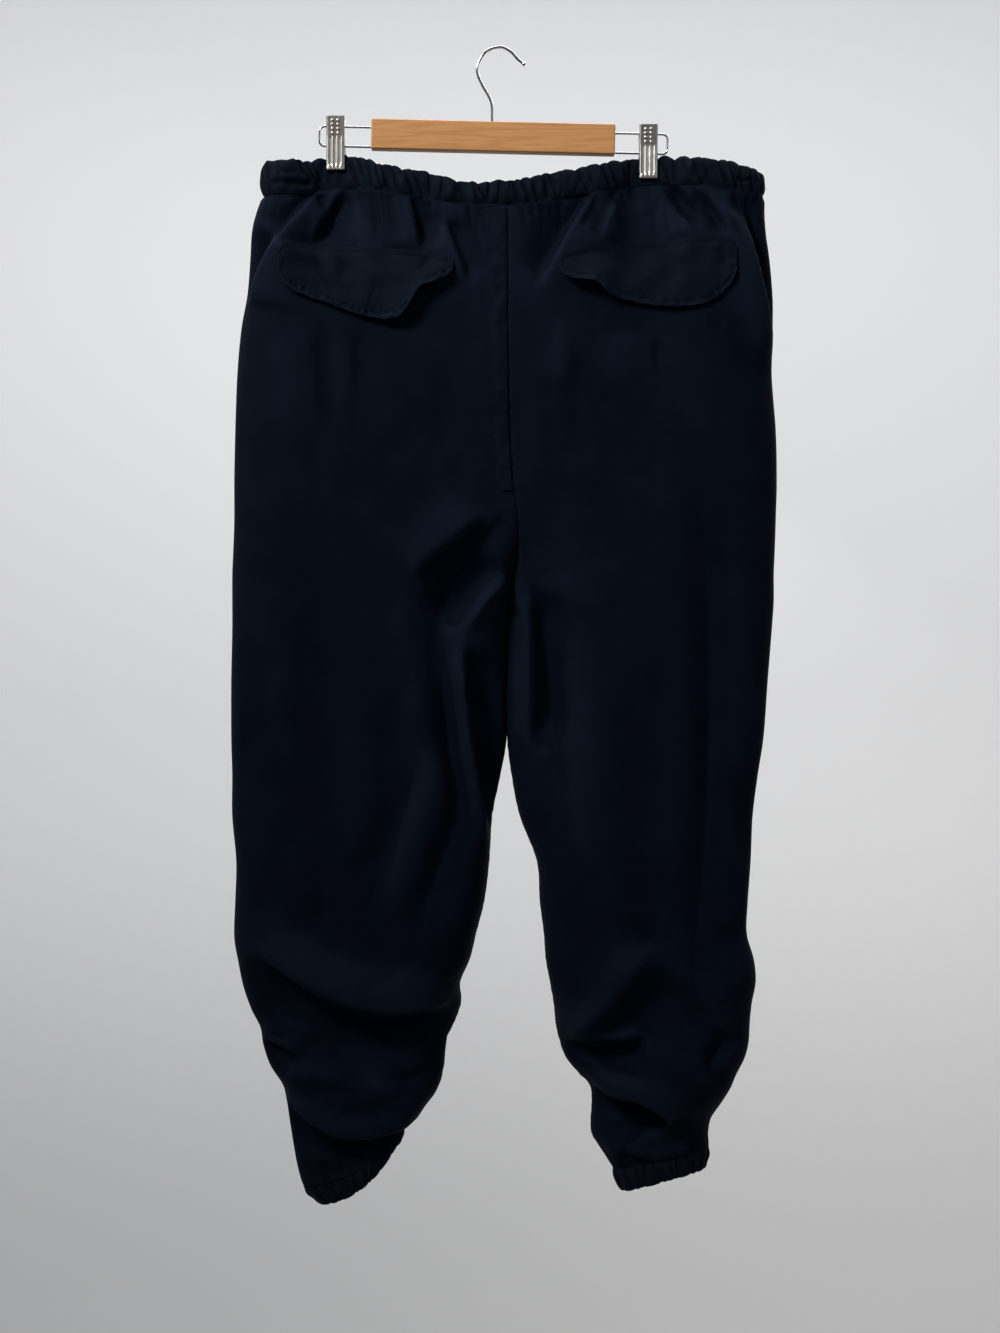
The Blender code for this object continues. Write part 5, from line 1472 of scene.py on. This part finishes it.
# A clip's jaw: how far its plate and its side flanges stand from the clip's mid plane.
Jaw = namedtuple("Jaw", "height plate front_flange back_flange")
JAW = named_rows(Jaw, (
    (27, 8.4, 7, 7), (22, 8, 5.4, 3.6), (20.5, 7.9, 4.9, 1.3), (8, 6.9, 2.2, 1.3), (-2, 6.8, 4.4, 1.3),
    (-4.5, 6.8, 4.8, 4.6), (-9, 6.7, 5.2, 5.2), (-18, 6.6, 5.3, 5.3), (-26.5, 6.6, 5.3, 5.3),
))
JAW_SHEET = 0.8
JAW_CORNER = 1.1
JAW_ROWS, JAW_COLUMNS = 108, 44
LIP_DOWN = 52.3            # how far down a jaw the bead along its gripping edge is
DIMPLES = ((-2.6, 2.9), (4.7, 8.7, 12.9, 17.1))    # places across, and down from the top
GROOVES = ((-4.6, 0.0, 4.6), 21.0, 48.0)           # places across, their start and end
TEETH = ((-5.9, -2.3, 1.6, 5.6), 50.0)             # places across and how far down
SPRING_HEIGHT = 8.6
COIL_RADIUS = 3.9
COIL_WIRE = 1.2
COIL_TURNS = 7
COIL_SIDES = 20
PIN_RADIUS = 1.5
PIN_LENGTH = 16.4


def bar_to_world(x, z):
    """A point of the bar's own front view, in the part's frame."""
    cos, sin = math.cos(BAR_TILT), math.sin(BAR_TILT)
    return BAR_CENTRE[0] + x * cos + z * sin, BAR_CENTRE[2] - x * sin + z * cos


def wire_mesh(name, points, diameter, swell=(), roundness=4):
    """A round wire through points in millimetres, its last ones swollen to a bead."""
    curve = bpy.data.curves.new(name, "CURVE")
    curve.dimensions = "3D"
    curve.bevel_depth = diameter / 2 * MM
    curve.bevel_resolution = roundness
    curve.use_fill_caps = True
    spline = curve.splines.new("POLY")
    spline.points.add(len(points) - 1)
    for spot, point in zip(spline.points, points):
        spot.co = (*(Vector(point) * MM), 1.0)
    for spot, size in zip(reversed(spline.points), reversed(swell)):
        spot.radius = size
    guide = place(name, curve)
    mesh = plain_mesh(guide)
    bpy.data.objects.remove(guide, do_unlink=True)
    mesh.materials.clear()
    return mesh


def merged(name, meshes):
    """One mesh of several."""
    work = bmesh.new()
    for mesh in meshes:
        work.from_mesh(mesh)
    made = bpy.data.meshes.new(name)
    work.to_mesh(made)
    work.free()
    return made


def make_bar(finish):
    """The wooden bar, with the hook's and the rails' wires let into it."""
    work = bmesh.new()
    bmesh.ops.create_cube(work, size=1.0)
    bmesh.ops.scale(work, verts=work.verts, vec=Vector(BAR_SIZE) * MM)
    edge = dict(offset=BAR_EDGE * MM, segments=5, profile=0.5, affect="EDGES")
    bmesh.ops.bevel(work, geom=list(work.edges), **edge)
    for vert in work.verts:
        x, z = bar_to_world(vert.co.x / MM, vert.co.z / MM)
        vert.co = Vector((x, vert.co.y / MM, z)) * MM
    mesh = bpy.data.meshes.new("hanger_bar")
    work.to_mesh(mesh)
    work.free()
    bar = add_piece("bar_wood", mesh, finish)
    bar.modifiers.new("Even faces", "WEIGHTED_NORMAL")
    return stand_in(bar, "beech", "hanger_bar")


def smooth_path(points, steps):
    """Points along a smooth curve through the given ones, in the plane of the hanger."""
    last = len(points) - 1
    path = rows_between(points, np.linspace(0.0, last, steps * last + 1))
    return [(x, 0.0, z) for x, z in path]


def make_hook(finish):
    """The hook's bent wire, with the bead at its end."""
    mesh = wire_mesh("hook", smooth_path(HOOK_POINTS, 12), HOOK_WIRE, BEAD)
    return stand_in(add_piece("hook_wire", mesh, finish), "chromed_wire", "hanger_hook")


def make_rail(side, finish):
    """The wire loop that sticks out of one end of the bar and carries a clip."""
    half = BAR_SIZE[0] / 2
    start = side * (half - RAIL_SUNK)
    high, low = RAIL_HEIGHTS
    turn = RAIL_REACH[side] - side * RAIL_BEND
    points = [(start, high), (side * half, high)]
    for corner, first in ((high - RAIL_BEND, 90), (low + RAIL_BEND, 0)):
        for k in range(13):
            angle = math.radians(first - 90 * k / 12)
            x = turn + side * RAIL_BEND * math.cos(angle)
            points.append((x, corner + RAIL_BEND * math.sin(angle)))
    points += [(side * half, low), (start, low)]
    world = [bar_to_world(x, z) for x, z in points]
    mesh = wire_mesh("rail", [(x, 0.0, z) for x, z in world], RAIL_WIRE)
    name = f"rail_{SIDE_NAMES[side]}"
    rail = add_piece(f"{name}_wire", mesh, finish)
    return stand_in(rail, "chromed_wire", f"hanger_{name}")


def jaw_relief(x, down):
    """The dimples, grooves and teeth pressed into a clip's front jaw."""
    relief = np.zeros_like(x)
    for dx in DIMPLES[0]:
        for dz in DIMPLES[1]:
            away = ((x - dx) / 1.35) ** 2 + ((down - dz) / 1.25) ** 2
            relief += 0.9 * np.exp(-(away**2))
    places, start, end = GROOVES
    reach = 1.0 / (1.0 + np.exp(-(down - start) / 0.5)) / (1.0 + np.exp((down - end) / 0.5))
    for dx in places:
        relief -= 0.75 * bell(x - dx, 0.9) * reach
        relief += 0.3 * bell(x - dx - 1.9, 0.7) * reach
    for dx in TEETH[0]:
        away = ((x - dx) / 1.1) ** 2 + ((down - TEETH[1]) / 1.2) ** 2
        relief += 0.8 * np.exp(-(away**2))
    return relief


def make_jaw(side, face, finish):
    """One pressed sheet-metal jaw of a clip: a plate with its two long edges folded in."""
    half = JAW_WIDTH / 2
    clip_x, clip_z = CLIP_X[side], CLIP_MID_Z[side]
    heights = np.linspace(JAW[0].height, JAW[-1].height, JAW_ROWS)
    order = slice(None, None, -1)
    stations = [row.height for row in JAW][order]
    plate = np.interp(heights, stations, [row.plate for row in JAW][order])
    kept = [row.front_flange if face == FRONT else row.back_flange for row in JAW]
    flange = np.interp(heights, stations, kept[order])
    down = JAW[0].height - heights
    plate = plate + 0.7 * bell(down - LIP_DOWN, 1.0)
    corner = JAW_CORNER
    inner = np.linspace(-half + corner, half - corner, JAW_COLUMNS)
    rows = []
    for k, height in enumerate(heights):
        left = [(-half, flange[k]), (-half, (flange[k] + plate[k] - corner) / 2)]
        for turn in (math.radians(a) for a in (0, 22, 45, 67)):
            y = plate[k] - corner * (1 - math.sin(turn))
            left.append((-half + corner * (1 - math.cos(turn)), y))
        relief = jaw_relief(inner, np.full_like(inner, down[k]))
        middle = list(zip(inner, plate[k] + relief))
        right = [(-x, y) for x, y in reversed(left)]
        rows.append([(clip_x + x, face * y, clip_z + height) for x, y in left + middle + right])
    grid = np.array(rows)
    name = f"{FACE_NAMES[face]}_jaw_{SIDE_NAMES[side]}"
    mesh = grid_mesh(name, grid, surface_uv(grid), np.full(grid.shape[:2], 0.5))
    jaw = give_wall(add_piece(f"{name}_sheet", mesh, finish), JAW_SHEET)
    return stand_in(jaw, "nickelled_sheet", f"clip_{name}")


def make_spring(side, finish):
    """A clip's coiled spring on its pin."""
    x, z = CLIP_X[side], CLIP_MID_Z[side] + SPRING_HEIGHT
    coil = []
    steps = COIL_SIDES * COIL_TURNS
    for k in range(steps + 1):
        turn = 2 * math.pi * k / COIL_SIDES
        along = (k / steps - 0.5) * (COIL_TURNS * COIL_WIRE * 1.15)
        coil.append((x + along, COIL_RADIUS * math.cos(turn), z + COIL_RADIUS * math.sin(turn)))
    half = PIN_LENGTH / 2
    pin = [(x - half, 0.0, z), (x + half, 0.0, z)]
    meshes = [
        wire_mesh("coil", coil, COIL_WIRE, roundness=2),
        wire_mesh("pin", pin, 2 * PIN_RADIUS, roundness=4),
    ]
    name = f"spring_{SIDE_NAMES[side]}"
    spring = add_piece(f"{name}_coil", merged(name, meshes), finish)
    return stand_in(spring, "nickelled_sheet", f"clip_{name}")


# ------------------------------------------------------------ the sewing
FLY_SEAM = ((6.8, -142), (6.8, -252), (8.6, -292), (8.8, -446), (14, -458), (18, -470))
FLY_SECOND_ROW = 3.2       # from the first one
PLACKET_INSET = 2.0        # of its stitching
RISE_SEAM = ((8, -172), (8, -300), (10, -380), (13, -430), (17, -468))
RISE_ROWS = (2.2, 6.4)     # beside the rise seam
BARTACK_X = (-2.0, 5.0)
HOLE_SIDES = (-0.7, 0.7)   # of the buttonhole's slit
SEAM_POINT = 3             # up a casing, where its stitching runs

# Each kind of stitch: from one to the next, its length, its thread and its turn from the line
FLY_STITCH = (3.4, 2.4, 0.35)
FLAP_STITCH = (3.2, 2.2, 0.4)
BARTACK_STITCH = (0.55, 1.3, 0.35, math.pi / 2)
HOLE_STITCH = (0.5, 1.0, 0.32, math.pi / 2)


def stitched_fly(tree):
    """The fly's double seam and the placket's edge, as lines of the front view."""
    left = [(x - FLY_SECOND_ROW, z) for x, z in FLY_SEAM[:-2]] + [(10.5, -456)]
    placket = [(row.x_left + PLACKET_INSET, row.z - PLACKET_INSET) for row in PLACKET[1:]]
    return [laid_line(tree, points) for points in (FLY_SEAM, left, placket)]


def stitched_flap(side, tree):
    """A flap's stitching, set in from its edge all round."""
    table = smooth_rows(FLAPS[side], 120)
    first, last = table[0, 0] + STITCH_INSET, table[-1, 0] - STITCH_INSET
    inside = [row for row in table if first < row[0] < last]
    bottom = [(x, low + STITCH_INSET) for x, _, low, _ in inside]
    top = [(x, high - WELT_INSET) for x, high, _, _ in inside]
    return [laid_line(tree, line) for line in ([top[0]] + bottom + [top[-1]], top)]


def rise_lines(tree):
    """The two rows that top-stitch the back's rise seam."""
    rows = [[(x + shift, z) for x, z in RISE_SEAM] for shift in RISE_ROWS]
    return [laid_line(tree, row, BACK) for row in rows]


# ------------------------------------------------------------ the stage
def place_light(name, spot, target, size, energy, spread, colour):
    """A rectangular light that faces its target."""
    light = bpy.data.lights.new(name, "AREA")
    light.shape = "RECTANGLE"
    light.size, light.size_y = size
    light.energy = energy
    light.spread = math.radians(spread)
    light.color = colour
    obj = place(name, light)
    obj.location = spot
    obj.rotation_euler = (Vector(target) - Vector(spot)).to_track_quat("-Z", "Y").to_euler()
    return obj


def make_backdrop(finish):
    """A wall that curves into a floor, far enough off to leave room all round the garment."""
    foot = BACKDROP_FAR - BACKDROP_CURVE
    profile = [(y, BACKDROP_FLOOR) for y in np.linspace(-BACKDROP_NEAR, foot, 8)]
    for turn in np.linspace(0.0, math.pi / 2, BACKDROP_STEPS + 1)[1:]:
        z = BACKDROP_FLOOR + BACKDROP_CURVE * (1 - math.cos(turn))
        profile.append((foot + BACKDROP_CURVE * math.sin(turn), z))
    profile.append((BACKDROP_FAR, BACKDROP_TOP))
    work = bmesh.new()
    rows = [
        [work.verts.new((x, y, z)) for y, z in profile]
        for x in np.linspace(-BACKDROP_HALF, BACKDROP_HALF, 9)
    ]
    for left, right in zip(rows[:-1], rows[1:]):
        for k in range(len(profile) - 1):
            work.faces.new((left[k], right[k], right[k + 1], left[k + 1]))
    mesh = bpy.data.meshes.new("backdrop")
    work.to_mesh(mesh)
    work.free()
    mesh.shade_smooth()
    mesh.materials.append(finish)
    return place("backdrop", mesh)


def make_camera(distance):
    """The camera, level with the middle of the garment and square to it."""
    camera = bpy.data.cameras.new("camera")
    camera.sensor_fit = "VERTICAL"
    camera.sensor_height = SENSOR_HEIGHT
    camera.lens = camera.sensor_height * distance / VIEW_HEIGHT
    camera.clip_end = 50.0
    obj = place("camera", camera)
    obj.location = (0.0, -distance, VIEW_MIDDLE)
    obj.rotation_euler = (math.pi / 2, 0.0, 0.0)
    bpy.context.scene.camera = obj
    return obj


# ------------------------------------------------------------ operators
made = {}      # the pieces that later steps need


def panels(face):
    """The two panels of the front or the back."""
    return [made[face, side] for side in SIDES]


class PANTS_OT_panels(bpy.types.Operator):
    """Make the four leg panels with their folds, gathers and puckers"""

    bl_idname = "pants.panels"
    bl_label = "Leg panels"

    def execute(self, context):
        cloth = context.scene.pants_cloth
        finish = cotton_material("washed black twill", "cotton", cloth.cotton, cloth.faded, 0.35)
        for side in SIDES:
            for face in FACES:
                made[face, side] = make_panel(side, face, cloth, finish)
        return {"FINISHED"}


class PANTS_OT_casings(bpy.types.Operator):
    """Make the gathered casings of the waist and the ankles"""

    bl_idname = "pants.casings"
    bl_label = "Gathered casings"

    def execute(self, context):
        cloth = context.scene.pants_cloth
        finish = cotton_material("casing twill", "casing_cotton", cloth.casing, cloth.faded, 0.45)
        for side in SIDES:
            made["waist", side] = make_waist_casing(side, cloth, finish)
            made["hem", side] = make_hem_casing(side, cloth, finish)
        return {"FINISHED"}


class PANTS_OT_laid(bpy.types.Operator):
    """Lay the pocket flaps and the fly's placket on the fronts"""

    bl_idname = "pants.laid"
    bl_label = "Flaps and placket"

    def execute(self, context):
        cloth = context.scene.pants_cloth
        flap_finish = cotton_material("flap twill", "flap_cotton", cloth.flap, cloth.faded, 0.5)
        finish = bpy.data.materials["washed black twill"]
        tree = surface_of(panels(FRONT))
        for side in SIDES:
            made["flap", side] = make_flap(side, tree, flap_finish)
        made["placket"] = make_placket(tree, finish)
        return {"FINISHED"}


class PANTS_OT_sewing(bpy.types.Operator):
    """Sew the fly, the flaps, the casings and the back's rise seam"""

    bl_idname = "pants.sewing"
    bl_label = "Sewing"

    def execute(self, context):
        thread = thread_material(context.scene.pants_cloth.thread)
        front = surface_of(panels(FRONT) + [made["placket"]])
        fly = make_stitches("fly_stitches", stitched_fly(front), thread, *FLY_STITCH)
        rows = [[(x, height) for x in BARTACK_X] for height in BARTACKS]
        tacks = [laid_line(front, row, proud=0.1) for row in rows]
        bars = make_stitches("fly_bartacks", tacks, thread, *BARTACK_STITCH)
        made["fly sewing"] = [fly, bars]
        for side in SIDES:
            tree, name = surface_of([made["flap", side]]), SIDE_NAMES[side]
            lines = stitched_flap(side, tree)
            sewn = [make_stitches(f"flap_stitches_{name}", lines, thread, *FLAP_STITCH)]
            if side == RIGHT:
                sewn.append(sew_buttonhole(tree, thread))
            made["flap sewing", side] = sewn
            for part, ends in (("waist", slice(4, -4)), ("hem", slice(None))):
                line = list(made[part, side][1][ends, SEAM_POINT])
                sewn = make_stitches(f"{part}_stitches_{name}", [line], thread)
                made[f"{part} sewing", side] = sewn
        lines = rise_lines(surface_of(panels(BACK)))
        made["rise sewing"] = make_stitches("rise_stitches", lines, thread)
        return {"FINISHED"}


def sew_buttonhole(tree, thread):
    """The satin stitches round the blind buttonhole."""
    (x0, z0), (x1, z1) = BUTTONHOLE
    length = math.hypot(x1 - x0, z1 - z0)
    over = np.array([z1 - z0, x0 - x1]) / length
    lines = []
    for shift in HOLE_SIDES:
        ends = [(x + over[0] * shift, z + over[1] * shift) for x, z in BUTTONHOLE]
        lines.append(laid_line(tree, ends, proud=0.25))
    return make_stitches("buttonhole_sides", lines, thread, *HOLE_STITCH)


class PANTS_OT_hanger(bpy.types.Operator):
    """Make the wooden bar, its wires and the two clips"""

    bl_idname = "pants.hanger"
    bl_label = "Hanger"

    def execute(self, context):
        colours = context.scene.pants_hanger
        wood = beech_material(colours.wood, colours.grain)
        chrome = metal_material("chromed wire", "chromed_wire", colours.chrome, 0.12, 0.12)
        nickel = metal_material("nickelled sheet", "nickelled_sheet", colours.nickel, 0.34, 0.14)
        make_bar(wood)
        make_hook(chrome)
        for side in SIDES:
            make_rail(side, chrome)
            make_spring(side, nickel)
            for face in FACES:
                make_jaw(side, face, nickel)
        return {"FINISHED"}


class PANTS_OT_declare(bpy.types.Operator):
    """Go through each leg's panels and their sewing, without stating anything about them"""

    bl_idname = "pants.declare"
    bl_label = "Cut of the cloth"

    def execute(self, context):
        for side in SIDES:
            both = [made[face, side] for face in FACES]
            for face, panel in zip(FACES, both):
                sewn = made["fly sewing"] if face == FRONT else [made["rise sewing"]]
                sewn = sewn if side == RIGHT else []
            sewn = made["flap sewing", side]
        return {"FINISHED"}


class PANTS_OT_stage(bpy.types.Operator):
    """Set up the backdrop, the lights and the camera"""

    bl_idname = "pants.stage"
    bl_label = "Stage"

    def execute(self, context):
        stage = context.scene.pants_stage
        backdrop = make_backdrop(wall_material(stage.backdrop))
        lights = [
            place_light(name, spot, target, size, energy * stage.light, spread, linear(colour))
            for name, spot, target, size, energy, spread, colour in LIGHTS
        ]
        camera = make_camera(stage.distance)
        world = bpy.data.worlds.new("studio")
        world.use_nodes = True
        ambient = world.node_tree.nodes["Background"]
        ambient.inputs["Color"].default_value = (*linear(AMBIENT), 1.0)
        ambient.inputs["Strength"].default_value = AMBIENT_STRENGTH * stage.light
        context.scene.world = world
        context.scene.view_settings.view_transform = "Standard"
        return {"FINISHED"}


class PANTS_PT_panel(bpy.types.Panel):
    """Settings and steps, in the order in which they run"""

    bl_label = "Parachute pants"
    bl_idname = "PANTS_PT_panel"
    bl_space_type = "VIEW_3D"
    bl_region_type = "UI"
    bl_category = "Pants"

    def draw(self, context):
        layout = self.layout
        for name in GROUPS:
            box = layout.box()
            settings = getattr(context.scene, name)
            for key in settings.__annotations__:
                box.prop(settings, key)
        for operator in OPERATORS:
            layout.operator(operator.bl_idname)


OPERATORS = (
    PANTS_OT_panels,
    PANTS_OT_casings,
    PANTS_OT_laid,
    PANTS_OT_sewing,
    PANTS_OT_hanger,
    PANTS_OT_declare,
    PANTS_OT_stage,
)
GROUPS = {
    "pants_cloth": ClothSettings,
    "pants_hanger": HangerSettings,
    "pants_stage": StageSettings,
}
CLASSES = (*GROUPS.values(), *OPERATORS, PANTS_PT_panel)


def register():
    for kind in CLASSES:
        bpy.utils.register_class(kind)
    for name, group in GROUPS.items():
        setattr(bpy.types.Scene, name, PointerProperty(type=group))


def unregister():
    for name in GROUPS:
        delattr(bpy.types.Scene, name)
    for kind in reversed(CLASSES):
        bpy.utils.unregister_class(kind)


def main():
    """Makes everything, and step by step."""
    register()
    for operator in OPERATORS:
        group, name = operator.bl_idname.split(".")
        if getattr(getattr(bpy.ops, group), name)() != {"FINISHED"}:
            raise RuntimeError(f"{operator.bl_label} didn't finish")


if __name__ == "__main__":
    main()
